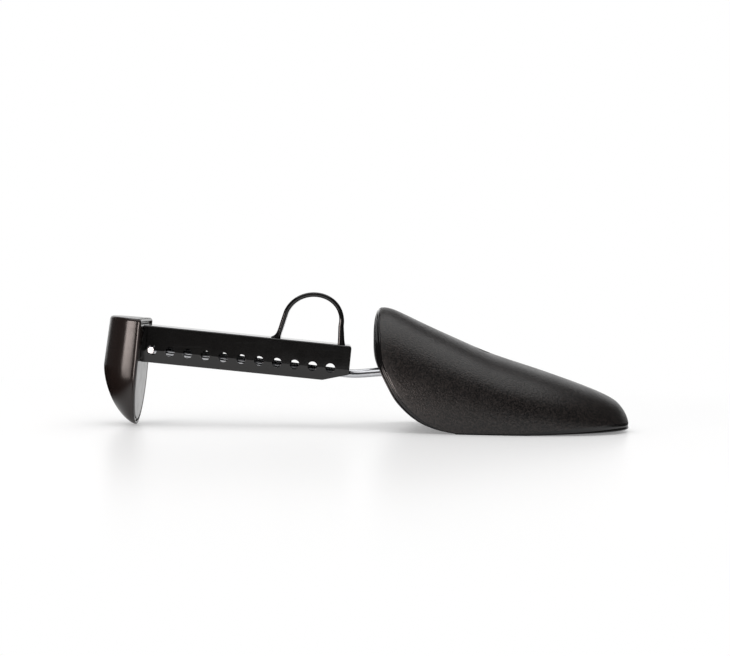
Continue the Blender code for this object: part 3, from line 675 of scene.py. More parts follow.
@dataclass(frozen=True)
class ToePiece(Assembly):
    """The hollow toe piece, the anchor of the wire inside it and the clamp plate under that.

    Shares are of the piece's length and height, from the rear rim to the tip.
    """

    gap: float = 11.1 * MM
    length: float = 116.2 * MM
    height: float = 54.6 * MM
    width: float = 78.0 * MM
    wall: float = 2.2 * MM
    widest: float = 0.50
    rear_narrowing: float = 0.23
    rear_roundness: float = 1.6
    nose_fullness: float = 2.3
    shoulder_fullness: float = 2.2
    sweep: float = math.radians(102.0)
    sole_trim: float = 1.2 * MM
    sole_flat: float = 30.0 * MM
    spring: float = 1.5 * MM
    on_floor: float = 0.02 * MM
    rim_blend: float = 3.0
    rim_round: float = 0.55 * MM
    stations: int = 110
    steps: int = 56
    arch_steps: int = 240
    ridge_crowding: float = 1.25
    sole_crowding: float = 1.7
    band_rows: tuple[float, ...] = (0.0, 0.6, 1.1, 1.3, 1.5, 1.7, 1.9, 2.1, 2.3, 2.6, 3.0, 3.6, 4.4)
    band_depths: tuple[float, ...] = (
        0.24, 0.32, 0.39, 0.37, 0.29, 0.18, 0.08, 0.02, 0.0, 0.03, 0.04, 0.02, 0.0,
    )
    band_reach: Points = ((0.0, 0.55), (0.4, 1.0), (0.6, 1.0), (1.0, 0.55))
    band_gloss: float = 2.7 * MM
    sole_rows: tuple[float, ...] = (3.4, 2.6, 2.0, 1.6, 1.3, 1.0, 0.75, 0.5, 0.3, 0.12, 0.0)
    sole_depths: tuple[float, ...] = (0.0, 0.02, 0.10, 0.22, 0.29, 0.26, 0.19, 0.13, 0.13, 0.24, 0.45)
    ridge: Points = (
        (0.009, 0.976), (0.031, 1.000), (0.064, 0.991), (0.100, 0.962), (0.197, 0.867), (0.307, 0.764),
        (0.453, 0.635), (0.671, 0.486), (0.853, 0.350), (0.941, 0.262), (0.978, 0.182), (1.000, 0.090),
    )
    rear_rim: Points = (
        (0.009, 0.976), (0.002, 0.900), (0.000, 0.760), (0.008, 0.550), (0.050, 0.350), (0.087, 0.229),
        (0.157, 0.100), (0.230, 0.034), (0.310, 0.000),
    )
    vent_length: float = 6.4 * MM
    vent_width: float = 17.0 * MM
    vent_place: float = 0.427
    vent_round: float = 0.15 * MM
    vent_rib: float = 1.0 * MM
    groove_gap: float = 0.25 * MM
    anchor_length: float = 21.0 * MM
    anchor_width: float = 15.0 * MM
    anchor_height: float = 8.0 * MM
    anchor_edge: float = 0.8 * MM
    clamp_thickness: float = 4.0 * MM
    clamp_edge: float = 0.9 * MM
    seat_gap: float = 0.3 * MM
    screw_spacing: float = 12.6 * MM
    screw_length: float = 12.0 * MM

    @property
    def rear(self) -> float:
        """X of the rearmost point, a set gap in front of the arm."""
        return self.layout.hook.x + Arm.front * math.cos(self.layout.pitch) + self.gap

    @property
    def flat_end(self) -> float:
        """Distance from the rear at which the sole leaves the floor."""
        return self.rear_rim[-1][0] * self.length + self.sole_flat

    def floor(self, x: Any) -> Any:
        """Height of the sole at distances from the rear, which rises a little to the tip."""
        return np.clip((x - self.flat_end) / (self.length - self.flat_end), 0.0, None) * self.spring

    def plan(self, share: np.ndarray) -> np.ndarray:
        """Half width at shares of the length, as shares of the widest.

        Args:
            share: The shares of the length.

        Returns:
            The shares of the widest half width.
        """
        back = np.clip((self.widest - share) / self.widest, 0.0, None)
        forward = np.clip((share - self.widest) / (1.0 - self.widest), 0.0, 1.0)
        nose = (1.0 - forward**self.nose_fullness) ** (1.0 / self.nose_fullness)
        return np.where(share < self.widest, 1.0 - self.rear_narrowing * back**self.rear_roundness, nose)

    def arch(self) -> tuple[np.ndarray, np.ndarray]:
        """A cross arch, from the ridge to the sole edge.

        Returns:
            How far each of its points is sideways, and how far down, as shares.
        """
        turn = self.sweep * np.linspace(0.0, 1.0, self.arch_steps)
        power = 2.0 / self.shoulder_fullness
        lowest = -abs(math.cos(self.sweep)) ** power
        across = np.sin(turn) ** power / math.sin(self.sweep) ** power
        drop = np.copysign(np.abs(np.cos(turn)) ** power, np.cos(turn))
        return across, (1.0 - drop) / (1.0 - lowest)

    def half_row(self, share: float, ridge: np.ndarray, run: np.ndarray, rim: np.ndarray) -> np.ndarray:
        """One half of a cross arch, from the ridge to where it meets the sole line.

        Args:
            share: Place of the arch from the rear rim at 0 to the tip at 1.
            ridge: Points of the ridge, in shares.
            run: Distance along the ridge of each, as a share.
            rim: Points of the rear rim in shares, from the sole up.

        Returns:
            Points from the ridge down, in metres from the rear.
        """
        across, down = self.arch()
        low = -self.sole_trim / self.height
        (rim_x, rim_z), sole_start = self.rear_rim[0], self.rear_rim[-1][0]
        forward = 1.0 - (1.0 - share) ** self.ridge_crowding
        on_ridge = (forward + 0.5 - 0.5 * math.cos(math.pi * forward)) / 2
        top_x, top_z = (np.interp(on_ridge, run, ridge[:, i]) for i in range(2))
        sole_x = sole_start + (1.0 - sole_start) * (1.0 - (1.0 - share) ** self.sole_crowding)
        x = top_x + (sole_x - top_x) * down
        z = top_z + (low - top_z) * down
        rear_x = rim_x + (sole_start - rim_x) * down
        rear_z = rim_z + (low - rim_z) * down
        x = x + (np.interp(rear_z, rim[:, 1], rim[:, 0]) - rear_x) * (1.0 - share) ** self.rim_blend
        y = self.plan(x) * across * (share < 1.0)
        line = np.stack([x * self.length, y * self.width / 2, z * self.height], axis=1)
        above = line[:, 2] - self.floor(line[:, 0])
        last = int(np.argmax(above < 0.0))
        part = above[last - 1] / (above[last - 1] - above[last])
        line = np.vstack([line[:last], line[last - 1] + (line[last] - line[last - 1]) * part])
        run, edge = run_along(line), np.array(self.sole_rows) * MM
        even = np.linspace(0.0, run[-1] - edge[0], self.steps + 2 - len(edge))
        return at_runs(line, run, np.append(even, run[-1] - edge[1:]))

    def surface(self) -> tuple[np.ndarray, Marks]:
        """The outer face.

        Returns:
            Rows of points, each from one sole edge over the ridge to the other, and their marks.
        """
        ridge, rim = smooth_curve(self.ridge), smooth_curve(self.rear_rim)
        run = run_along(ridge)
        rows = []
        for share in np.linspace(0.0, 1.0, 2 * self.stations + 1):
            half = self.half_row(share, ridge, run / run[-1], rim[::-1])
            half[0, 1] = 0.0
            other = half[:0:-1] * (1.0, -1.0, 1.0)
            rows.append(np.vstack([other, half]) + (self.rear, 0.0, 0.0))
        return self.banded(np.array(rows))

    def banded(self, rows: np.ndarray) -> tuple[np.ndarray, Marks]:
        """Spaces the rows by their distance from the rear rim and marks the bands there and at the sole.

        Args:
            rows: Evenly shared rows of points, from the rim to the tip.

        Returns:
            Rows of points, the first ones close together in the band, and the marks of each point:
            how far it is sunk into the wall, its gloss, and whether it is on the rim.
        """
        count = self.stations - len(self.band_rows)
        far = 1.0 - (1.0 - np.linspace(0.0, 1.0, count + 1)) ** self.ridge_crowding
        reach = np.array(self.band_reach)
        spaced = []
        for i, column in enumerate(np.swapaxes(rows, 0, 1)):
            run = run_along(column)
            near = np.array(self.band_rows) * MM * np.interp(abs(i / self.steps - 1.0), *reach.T)
            spaced.append(at_runs(column, run, np.append(near, near[-1] + (run[-1] - near[-1]) * far[1:])))
        spaced = np.swapaxes(np.array(spaced), 0, 1)
        outward = np.cross(np.gradient(spaced, axis=0), np.gradient(spaced, axis=1))
        outward /= np.maximum(np.linalg.norm(outward, axis=2, keepdims=True), 1e-12)
        if outward[1, self.steps, 2] < 0:
            outward = -outward
        outward[-1, :, 1] = 0.0
        beyond = (0, len(spaced) - len(self.band_rows))
        near_rim = np.pad(np.array(self.band_depths) * MM, beyond)[:, None]
        near_sole = np.pad(np.array(self.sole_depths) * MM, (self.steps + 1 - len(self.sole_depths), 0))
        near_sole = np.append(near_sole[:0:-1], near_sole)
        sunk = -outward * (near_rim + near_sole)[:, :, None]
        glossy_rows = np.pad(np.array(self.band_rows) * MM < self.band_gloss, beyond)[:, None]
        rim = np.zeros(spaced.shape[:2])
        rim[0] = 1.0
        return spaced, {GLOSS: np.maximum(glossy_rows, near_sole > 0.0), SUNK: sunk, RIM: rim}

    def build_shell(self) -> Piece:
        """Models the shell: outer face, wall, sunk bands, rounded rim and vent.

        Returns:
            The shell.
        """
        points, marks = self.surface()
        shell = shaped_grid("toe_piece", points, closed=False, marks=marks)
        outer = len(shell.data.vertices)
        modify(shell, "SOLIDIFY", thickness=self.wall, offset=-1.0, use_even_offset=True)
        vertices = shell.data.vertices
        for outside, inside in zip(vertices[:outer], vertices[outer:]):
            if outside.co.z < self.floor(outside.co.x - self.rear) + self.on_floor:
                inside.co.z = self.floor(inside.co.x - self.rear)
        for vertex, sunk in zip(vertices[:outer], shell.data.attributes[SUNK].data):
            vertex.co += sunk.vector
        rim = {i for i, mark in enumerate(shell.data.attributes[RIM].data) if mark.value > 0.5}
        edit(shell, lambda e: all(v.index in rim for v in e.verts) and e.calc_face_angle(0.0) > 1.0, "EDGE")
        bpy.ops.mesh.bevel(offset=self.rim_round, segments=4, affect="EDGES")
        bpy.ops.object.mode_set(mode="OBJECT")
        for name in (SUNK, RIM):
            shell.data.attributes.remove(shell.data.attributes[name])
        cut(shell, self.vent_cutter())
        return shell

    def vent_cutter(self) -> Piece:
        """The slot's shape, square to the ridge, with a rounded mouth and a rib left along the ridge.

        Returns:
            The cutter.
        """
        ridge = smooth_curve(self.ridge) * (self.length, self.height)
        at = int(np.argmin(np.abs(ridge[:, 0] - self.vent_place * self.length)))
        run = ridge[at + 1] - ridge[at - 1]
        half = (self.vent_width - self.vent_length) / 2
        rings = [(-8.0 * MM, 0.0)] + [(-down, out) for down, out in quarter(self.vent_round, 6)]
        rings.append((self.wall, self.vent_round + self.wall))
        rows = []
        for up, spread in rings:
            radius = self.vent_length / 2 + spread
            left = arc((0.0, half), radius, 0.0, 180.0, 20)
            right = arc((0.0, -half), radius, 180.0, 360.0, 20)
            rows.append([(a, b, up) for a, b in (*left, *right, left[0])])
        cutter = shaped_grid("vent", rows)
        reach = (self.vent_length, self.vent_rib / 2, 10 * MM)
        cut(cutter, block("rib", [-r for r in reach], reach))
        at_ridge = Matrix.Translation((self.rear + ridge[at, 0], 0.0, ridge[at, 1]))
        return place(cutter, at_ridge @ Matrix.Rotation(-math.atan2(run[1], run[0]), 4, "Y"))

    def drill(self, piece: Piece, radius: float, low: float, high: float) -> None:
        """Drills a block for the two clamp screws.

        Args:
            piece: The block.
            radius: Radius of the holes.
            low: Height of their lower end above the wire's cross-bar.
            high: Height of their upper end.
        """
        for side in (-1, 1):
            at = self.layout.bar + Vector((side * self.screw_spacing / 2, 0.0, 0.0))
            cut(piece, place(rod(radius, low, high), Matrix.Translation(at)))

    def cut_groove(self, piece: Piece) -> None:
        """Cuts the round groove of the wire's cross-bar into a block."""
        groove = rod(SpringWire.diameter / 2 + self.groove_gap, -self.anchor_width, self.anchor_width, 48)
        cut(piece, place(groove, Matrix.Translation(self.layout.bar) @ Matrix.Rotation(math.pi / 2, 4, "X")))

    def build_block(self, name: str, low: float, high: float) -> Piece:
        """Models a block about the wire's cross-bar.

        Args:
            name: Name of the new piece.
            low: Height of its foot above the bar.
            high: Height of its top above the bar.

        Returns:
            The block.
        """
        half = Vector((self.anchor_length / 2, self.anchor_width / 2, 0.0))
        bar = self.layout.bar
        return block(name, bar - half + Vector((0.0, 0.0, low)), bar + half + Vector((0.0, 0.0, high)))

    def build_anchor(self, shell: Piece) -> Piece:
        """Models the block under the roof: its top follows the shell, its foot holds the wire.

        Args:
            shell: The finished shell, whose inner face the block grows out of.

        Returns:
            The block.
        """
        bar = self.layout.bar
        anchor = self.build_block("toe_anchor", self.seat_gap / 2, self.anchor_height)
        edit(anchor)
        bpy.ops.mesh.bevel(offset=self.anchor_edge, segments=3, affect="EDGES")
        bpy.ops.object.mode_set(mode="OBJECT")
        for vertex in anchor.data.vertices:
            if vertex.co.z > bar.z + self.anchor_height / 2:
                hit = shell.ray_cast(Vector((vertex.co.x, vertex.co.y, bar.z)), Vector((0.0, 0.0, 1.0)))
                vertex.co.z = hit[1].z + self.wall / 2
        self.cut_groove(anchor)
        self.drill(anchor, Screw.pilot_radius, -1 * MM, self.screw_length)
        return anchor

    def build_clamp(self) -> Piece:
        """Models the plate under the cross-bar, with its groove and two screw holes.

        Returns:
            The plate.
        """
        top = -self.seat_gap / 2
        plate = self.build_block("wire_clamp", top - self.clamp_thickness, top)
        modify(plate, "BEVEL", width=self.clamp_edge, segments=4)
        self.cut_groove(plate)
        self.drill(plate, Screw.hole_radius, -10 * MM, 2 * MM)
        return plate

    def build(self) -> None:
        """Makes every piece of the toe."""
        shell = self.build_shell()
        anchor = self.build_anchor(shell)
        self.dress(shell, Body.TOE, Slot.GRAINED, ["toe_shell"], angle=50.0)
        self.dress(anchor, Body.TOE, Slot.GRAINED)
        self.dress(self.build_clamp(), Body.TOE, Slot.SATIN, ["toe_clamp_plate"])
        seat = self.layout.bar - Vector((0.0, 0.0, self.seat_gap * 1.5 + self.clamp_thickness))
        for name, side in (("rear", -1), ("front", 1)):
            screw = Screw(self.screw_length).build(f"clamp_fixing_{name}")
            place(screw, Matrix.Translation(seat + Vector((side * self.screw_spacing / 2, 0.0, 0.0))))
            self.dress(screw, Body.TOE, Slot.ZINC, [f"clamp_screw_{name}"])


@dataclass(frozen=True)
class SpringWire(Assembly):
    """The chromed wire, bent into a hairpin, and its two ends turned outwards as hooks."""

    diameter: float = 3.2 * MM
    hook_bend: float = 2.6 * MM
    bar_bend: float = 4.0 * MM
    knee_bend: float = 30.0 * MM
    leg_spacing: float = 14.0 * MM
    bar_spacing: float = 24.0 * MM
    leg_drop: float = math.radians(1.4)
    knee_reach: float = 90.5 * MM
    spread_length: float = 27.0 * MM
    hook_start: float = 9.9 * MM
    hook_end: float = 17.1 * MM
    seam: float = 0.02 * MM
    end_round: float = 0.25 * MM
    end_slant: tuple[float, float] = (0.21, 0.055)

    def path(self) -> list[Vector]:
        """The wire's middle line.

        Returns:
            Its points, from one hook's bend to the other's.
        """
        hook, bar = self.layout.hook, self.layout.bar
        slope = self.layout.pitch + self.leg_drop
        knee = hook + self.knee_reach * Vector((math.cos(slope), 0.0, -math.sin(slope)))
        spread = knee + (bar - knee) * (self.spread_length / (bar - knee).length)
        legs, ends = self.leg_spacing / 2, self.bar_spacing / 2
        side = [(hook, self.hook_start), (hook, legs), (knee, legs), (spread, ends), (bar, ends)]
        radii = [self.hook_bend, self.knee_bend, self.knee_bend, self.bar_bend]
        left = [Vector((p.x, y, p.z)) for p, y in side]
        right = [Vector((p.x, -y, p.z)) for p, y in reversed(side)]
        return rounded_path(left + right, radii + radii[::-1], 20)

    def build_wire(self) -> Piece:
        """Models the hairpin as a round section swept along its path.

        Returns:
            The wire.
        """
        deselect()
        path = self.path()
        curve = bpy.data.curves.new("wire_spring", "CURVE")
        curve.dimensions = "3D"
        curve.bevel_depth = self.diameter / 2
        curve.bevel_resolution = 10
        curve.use_fill_caps = True
        spline = curve.splines.new("POLY")
        spline.points.add(len(path) - 1)
        for point, at in zip(spline.points, path):
            point.co = (*at, 1.0)
        wire = bpy.data.objects.new("wire_spring", curve)
        bpy.context.collection.objects.link(wire)
        take(wire)
        bpy.ops.object.convert(target="MESH")
        return bpy.context.object

    def build_hook(self, side: Side) -> Piece:
        """Models one straight end of the wire, cut off at a slight slant.

        Args:
            side: The side that it stands out on.

        Returns:
            The hook.
        """
        radius = self.diameter / 2
        along_x, upwards = self.end_slant
        end = self.hook_end - radius * math.hypot(along_x, upwards)
        start = self.hook_start + self.seam
        rounded = arc((radius - self.end_round, end - self.end_round), self.end_round, 0.0, 90.0, 6)
        profile = [(0.0, start), (radius, start), *rounded, (0.0, end)]
        hook = turned(f"wire_hook_{side.name.lower()}", profile, 48)
        for vertex in hook.data.vertices:
            if vertex.co.z > end - 2 * self.end_round:
                vertex.co.z += along_x * vertex.co.x + side.value * upwards * vertex.co.y
        turn = Matrix.Rotation(-side.value * math.pi / 2, 4, "X")
        return place(hook, Matrix.Translation(self.layout.hook) @ turn)

    def build(self) -> None:
        """Makes the wire and its hooks."""
        self.dress(self.build_wire(), Body.WIRE, Slot.CHROME, ["spring_wire"])
        for side in Side:
            node = f"hook_end_{side.name.lower()}"
            self.dress(self.build_hook(side), Body.HOOKS, Slot.CHROME, [node], flat_faces=True)


@dataclass(frozen=True)
class Arm(Assembly):
    """The channel with its two rows of holes, and the finger loop moulded on it."""

    width: float = 27.0 * MM
    wall: float = 1.8 * MM
    top: float = 10.8 * MM
    rear: float = -4.6 * MM
    neck_end: float = -2.4 * MM
    neck_depth: float = 0.3 * MM
    neck_round: float = 0.8 * MM
    front: float = 88.6 * MM
    lip_depth: float = 5.7 * MM
    lip_lean: float = 2.4 * MM
    edge_round: float = 1.0 * MM
    small_round: float = 0.25 * MM
    corner_round: float = 1.3 * MM
    boss_radius: float = 2.7 * MM
    boss_end: float = 4.9 * MM
    screw_spacing: float = 15.0 * MM
    screw_height: float = 5.6 * MM
    hole_count: int = 11
    hole_pitch: float = 8.0 * MM
    hole_radius: float = 2.15 * MM
    nose_length: float = 11.6 * MM
    nose_rise: float = 3.6 * MM
    loop_height: float = 20.2 * MM
    loop_inside: float = 23.8 * MM
    loop_thickness: float = 2.1 * MM
    loop_width: float = 13.0 * MM
    loop_to_front: float = 4.6 * MM
    loop_lean: float = 2.6 * MM
    loop_bow: float = 0.55
    loop_rear_arc: float = 172.0
    front_lean: float = 1.0 * MM
    front_swell: float = 0.5 * MM
    crown_lean: float = 0.7 * MM
    loop_round: float = 1.02 * MM
    foot_spread: float = 1.6 * MM
    front_foot_spread: float = 0.3 * MM
    foot_height: float = 3.2 * MM

    @classmethod
    def screw_place(cls, side: Side, x: float) -> Matrix:
        """The place of a screw of the heel whose head's seat is at an X, in the arm's own frame."""
        return Matrix.Translation((x, side.value * cls.screw_spacing / 2, cls.screw_height)) @ LAID_ON_X

    def build_channel(self) -> Piece:
        """Models the channel from a box: fold line, leaning lips, raised nose, wall and holes.

        Returns:
            The channel.
        """
        half = self.width / 2
        channel = block("arm_body", (self.rear, -half, -self.lip_depth), (self.front, half, self.top))
        nose = self.front - self.nose_length
        for at, across in (((0.0, 0.0, 0.0), (0.0, 0.0, 1.0)), ((nose, 0.0, 0.0), (1.0, 0.0, 0.0))):
            edit(channel)
            bpy.ops.mesh.bisect(plane_co=at, plane_no=across)
        low, ahead = TINY - self.lip_depth, self.front - TINY
        for side in (1, -1):
            edit(channel, lambda v: v.co.z < low and v.co.y * side > 0)
            bpy.ops.transform.translate(value=(0.0, -side * self.lip_lean, 0.0))
            edit(channel, lambda v: v.co.z < low and v.co.y * side > 0 and v.co.x > ahead)
            out = side * self.lip_lean * self.nose_rise / self.lip_depth
            bpy.ops.transform.translate(value=(0.0, out, self.nose_rise))
        self.round_edges(channel, self.corner_round, lambda a, b: min(a.x, b.x) > ahead)
        self.open_faces(channel)
        self.round_edges(channel, self.edge_round, lambda a, b: a.y * b.y > 0)
        modify(channel, "SOLIDIFY", thickness=self.wall, offset=-1.0, use_even_offset=True)
        drill = place(rod(self.hole_radius, -20 * MM, 20 * MM, 48), Matrix.Rotation(math.pi / 2, 4, "X"))
        step = {"use_constant_offset": True, "constant_offset_displace": (self.hole_pitch, 0.0, 0.0)}
        modify(drill, "ARRAY", count=self.hole_count, use_relative_offset=False, **step)
        cut(channel, drill)
        sharp = {"limit_method": "ANGLE", "angle_limit": math.radians(35.0)}
        modify(channel, "BEVEL", width=self.small_round, segments=5, **sharp)
        for side in Side:
            cut(channel, self.neck_cutter(side))
        return channel

    def neck_cutter(self, side: Side) -> Piece:
        """The shape that thins one side wall behind the holes, up to a rounded step.

        Args:
            side: The side of the wall.

        Returns:
            The cutter.
        """
        half = self.width / 2
        turn = math.degrees(math.acos(1.0 - self.neck_depth / self.neck_round))
        step = arc((self.neck_end, half - self.neck_round), self.neck_round, 90.0 + turn, 90.0, 8)
        behind, outside = self.rear - 1 * MM, half + 1 * MM
        outline = [(behind, half - self.neck_depth), *step, (self.neck_end, outside), (behind, outside)]
        outline.append(outline[0])
        heights = (-2 * self.lip_depth, self.top - 1.3 * self.edge_round)
        return shaped_grid("neck", [[(x, side.value * y, z) for x, y in outline] for z in heights])

    def open_faces(self, channel: Piece) -> None:
        """Deletes the underside between the lips and the front end.

        Args:
            channel: The channel, still closed.
        """

        def is_open(face: bmesh.types.BMFace) -> bool:
            """Tells whether a face is the front end or the underside."""
            spread = [vertex.co.y for vertex in face.verts]
            return face.normal.x > 0.9 or (face.normal.z < -0.3 and max(spread) * min(spread) < 0)

        edit(channel, is_open, "FACE")
        bpy.ops.mesh.delete(type="ONLY_FACE")

    def round_edges(self, channel: Piece, radius: float, keep: Callable[[Vector, Vector], bool]) -> None:
        """Rounds those edges on top of the channel that pass a test.

        Args:
            channel: The channel.
            radius: Radius of the rounding.
            keep: Test of an edge by its two ends.
        """
        low = self.top - self.corner_round * 1.01

        def is_kept(edge: bmesh.types.BMEdge) -> bool:
            """Tells whether an edge is a sharp one on top that passes the test."""
            ends = [vertex.co for vertex in edge.verts]
            return min(end.z for end in ends) > low and edge.calc_face_angle(0.0) > 0.3 and keep(*ends)

        edit(channel, is_kept, "EDGE")
        bpy.ops.mesh.bevel(offset=radius, segments=5, affect="EDGES")
        bpy.ops.object.mode_set(mode="OBJECT")

    def loop_path(self) -> np.ndarray:
        """Middle line of the loop: a slanting rear leg, a round top and an upright front leg.

        Returns:
            Its points along the arm and square to it.
        """
        thick = self.loop_thickness / 2
        front = self.front - self.loop_to_front - thick
        rear = front - self.loop_inside - self.loop_thickness
        radius = (front - rear) / 2
        middle = ((front + rear) / 2, self.top + self.loop_height + thick - radius)
        root = self.top - self.wall / 2
        knee = self.top + self.foot_height
        legs = [(rear - self.loop_lean, root), (rear - self.loop_lean * self.loop_bow, knee)]
        crown = arc(middle, radius, self.loop_rear_arc, 0.0, 16)
        ahead, up = ((crown - middle) / radius).T
        crown[:, 0] += self.crown_lean * up * (1.0 + ahead)
        curve = smooth_curve(np.vstack([legs, crown, [(front, knee), (front, root)]]), 8)
        run = run_along(curve)
        line = at_runs(curve, run, np.linspace(0.0, run[-1], 110))
        below = np.clip((middle[1] - line[:, 1]) / (middle[1] - root), 0.0, 1.0)
        line[:, 0] += np.where(line[:, 0] > middle[0], below * self.front_lean, 0.0)
        return line

    def loop_section(self, up: float, forward: bool) -> np.ndarray:
        """One section of the loop, spread at its feet.

        Args:
            up: Height over the arm's top.
            forward: True on the front leg.

        Returns:
            A closed line of points across the loop and outwards.
        """
        low = np.clip(up / self.foot_height, 0.0, 1.0)
        spread = self.front_foot_spread if forward else self.foot_spread
        foot = spread * (1.0 - math.sqrt(1.0 - (1.0 - low) ** 2))
        swell = self.front_swell * forward * np.clip(1.0 - up / self.loop_height * 1.6, 0.0, 1.0)
        rise, fall = self.loop_thickness / 2 + foot + swell, (self.loop_thickness + foot) / 2 + swell
        corner = self.loop_round
        wide, over, under = self.loop_width / 2 - corner, rise - corner, corner - fall
        middles = ((wide, over), (-wide, over), (-wide, under), (wide, under))
        section = np.vstack([arc(at, corner, 90.0 * i, 90.0 * (i + 1), 6) for i, at in enumerate(middles)])
        return np.vstack([section, section[:1]])

    def build_loop(self) -> Piece:
        """Models the loop as a rounded strip swept along its path.

        Returns:
            The loop, in the arm's own frame.
        """
        path = self.loop_path()
        run = np.gradient(path, axis=0)
        run /= np.linalg.norm(run, axis=1)[:, None]
        rows = []
        for (x, z), (ahead, up) in zip(path, run):
            section = self.loop_section(z - self.top, x > path[:, 0].mean())
            rows.append([(x - up * n, y, z + ahead * n) for y, n in section])
        return shaped_grid("finger_loop", rows)

    def build_boss(self, side: Side) -> Piece:
        """Models the tube inside the arm's end that one screw of the heel bites into.

        Args:
            side: The side that it stands on.

        Returns:
            The tube, in the arm's own frame.
        """
        start, bore = self.rear + 0.3 * self.wall, Screw.pilot_radius
        edge = (self.boss_radius - self.small_round, self.boss_end - self.small_round)
        rounded = arc(edge, self.small_round, 90.0, 0.0, 4)
        profile = [(bore, start), (bore, self.boss_end), *rounded, (self.boss_radius, start), (bore, start)]
        boss = turned(f"arm_boss_{side.name.lower()}", profile, 40)
        return place(boss, self.screw_place(side, 0.0))

    def build(self) -> None:
        """Makes the channel, the loop and the bosses."""
        pieces = [(self.build_channel(), ["arm_channel"]), (self.build_loop(), [])]
        pieces += [(self.build_boss(side), []) for side in Side]
        for piece, nodes in pieces:
            place(piece, self.layout.arm_space())
            self.dress(piece, Body.ARM, Slot.SATIN, nodes, angle=20.0, flat_faces=True)


@dataclass(frozen=True)
class Heel(Assembly):
    """The half-round heel shell, the plate set in its front and the two screws behind that."""

    width: float = 44.0 * MM
    depth: float = 17.2 * MM
    front: float = -4.9 * MM
    top: float = 13.4 * MM
    height: float = 48.0 * MM
    taper_height: float = 26.0 * MM
    taper_power: float = 1.6
    top_draft: float = 0.8 * MM
    wall: float = 2.4 * MM
    lip: float = 1.2 * MM
    top_round: float = 1.3 * MM
    front_round: float = 0.7 * MM
    bead_width: float = 0.8 * MM
    bead_step: float = 0.5 * MM
    bead_rise: float = 0.15 * MM
    bead_turn: float = 0.10
    lip_round: float = 0.3 * MM
    plate_thickness: float = 2.0 * MM
    plate_recess: float = 0.6 * MM
    plate_gap: float = 0.3 * MM
    plate_round: float = 0.35 * MM
    screw_length: float = 10.0 * MM
    columns: int = 72
    taper_levels: int = 45

    def section(self, height: float, inset: float) -> np.ndarray:
        """One level section of the shell, as a closed line of X and Y.

        Args:
            height: Height above the heel's tip.
            inset: Distance that the section is drawn in all round, for the rounded top.

        Returns:
            Points with the first one repeated at the end.
        """
        half = self.width / 2
        wide = half if height >= half else math.sqrt(max(half**2 - (half - height) ** 2, 0.0))
        left = max(0.0, 1.0 - height / self.taper_height)
        deep = self.depth * (1.0 - left**self.taper_power) ** (1 / self.taper_power)
        deep -= self.top_draft * max(0.0, height - self.taper_height) / (self.height - self.taper_height)
        wide, deep = max(wide - inset, 0.0), max(deep - inset, 0.0)
        front = self.front - inset
        corner = min(self.front_round, wide / 2, deep / 2)
        near = np.linspace(0.0, self.bead_turn, 17)
        far = np.linspace(self.bead_turn, math.pi - self.bead_turn, self.columns)[1:-1]
        turns = np.concatenate([near, far, math.pi - near[::-1]])
        from_front = corner + (deep - corner) * np.sin(turns)
        into_bead = np.clip((from_front - self.bead_width) / self.bead_step, 0.0, 1.0)
        rise = self.bead_rise * min(1.0, height / self.bead_width) * (3 - 2 * into_bead) * into_bead**2
        back = np.stack([front + inset - from_front, np.maximum(wide - rise, 0.0) * np.cos(turns)], axis=1)
        right = arc((front - corner, wide - corner), corner, 0.0, 90.0, 5)
        left_corner = arc((front - corner, corner - wide), corner, 270.0, 360.0, 5)
        face = [(front, y) for y in np.linspace(corner - wide, wide - corner, 9)[1:-1]]
        return np.vstack([right, back[1:-1], left_corner, face, right[:1]])

    def form(self, name: str) -> Piece:
        """The shell's outer form, with its top and front edges rounded.

        Args:
            name: Name of the new piece.

        Returns:
            The new closed piece.
        """
        turns = math.pi / 2 * np.arange(1, self.taper_levels + 1) / self.taper_levels
        straight = np.linspace(self.taper_height, self.height - self.top_round, 8)[1:]
        levels = [(self.height * 0.0004, 0.0)]
        levels += [(self.taper_height * (1 - math.cos(turn)), 0.0) for turn in turns]
        levels += [(height, 0.0) for height in straight]
        levels += [(self.height - down, inset) for down, inset in quarter(self.top_round, 7)[1:]]
        tip = self.top - self.height
        rows = [[(x, y, tip + up) for x, y in self.section(up, inset)] for up, inset in levels]
        return shaped_grid(name, rows)

    def face_line(self, inset: float) -> np.ndarray:
        """Outline of the heel's flat front.

        Args:
            inset: Distance that it is drawn in.

        Returns:
            A closed line of points in Y and Z.
        """
        middle = self.top - self.height + self.width / 2
        side, top, corner = self.width / 2 - inset, self.top - inset, self.top_round
        bottom = arc((0.0, middle), side, 180.0, 360.0, 64)
        right = arc((side - corner, top - corner), corner, 0.0, 90.0, 6)
        left = arc((corner - side, top - corner), corner, 90.0, 180.0, 6)
        return np.vstack([bottom, right, left, [(-side, middle)]])

    def face_solid(self, name: str, rings: Points) -> Piece:
        """A solid stacked from outlines of the front, by place along the arm and inset of each."""
        return shaped_grid(name, [[(x, y, z) for y, z in self.face_line(inset)] for x, inset in rings])

    def build_shell(self) -> Piece:
        """Models the shell: the form with its cavity and the seat of the plate cut out.

        Returns:
            The shell, in the arm's own frame.
        """
        shell = self.form("heel_piece")
        ledge = self.front - self.plate_recess - self.plate_thickness - self.plate_gap
        rounded = [(self.front - back, self.lip - out) for back, out in quarter(self.lip_round, 6)]
        outermost = (self.front + 3 * MM, self.lip - self.lip_round)
        cut(shell, self.face_solid("seat", [(ledge, self.lip), *rounded, outermost]))
        thin = 2 * self.wall
        shares = (1 - self.wall / self.depth, 1 - thin / self.width, 1 - thin / self.height, 1.0)
        middle = Vector((self.front, 0.0, self.top - self.height / 2))
        shrink = Matrix.Translation(middle) @ Matrix.Diagonal(shares) @ Matrix.Translation(-middle)
        cut(shell, place(self.form("cavity"), shrink))
        return shell

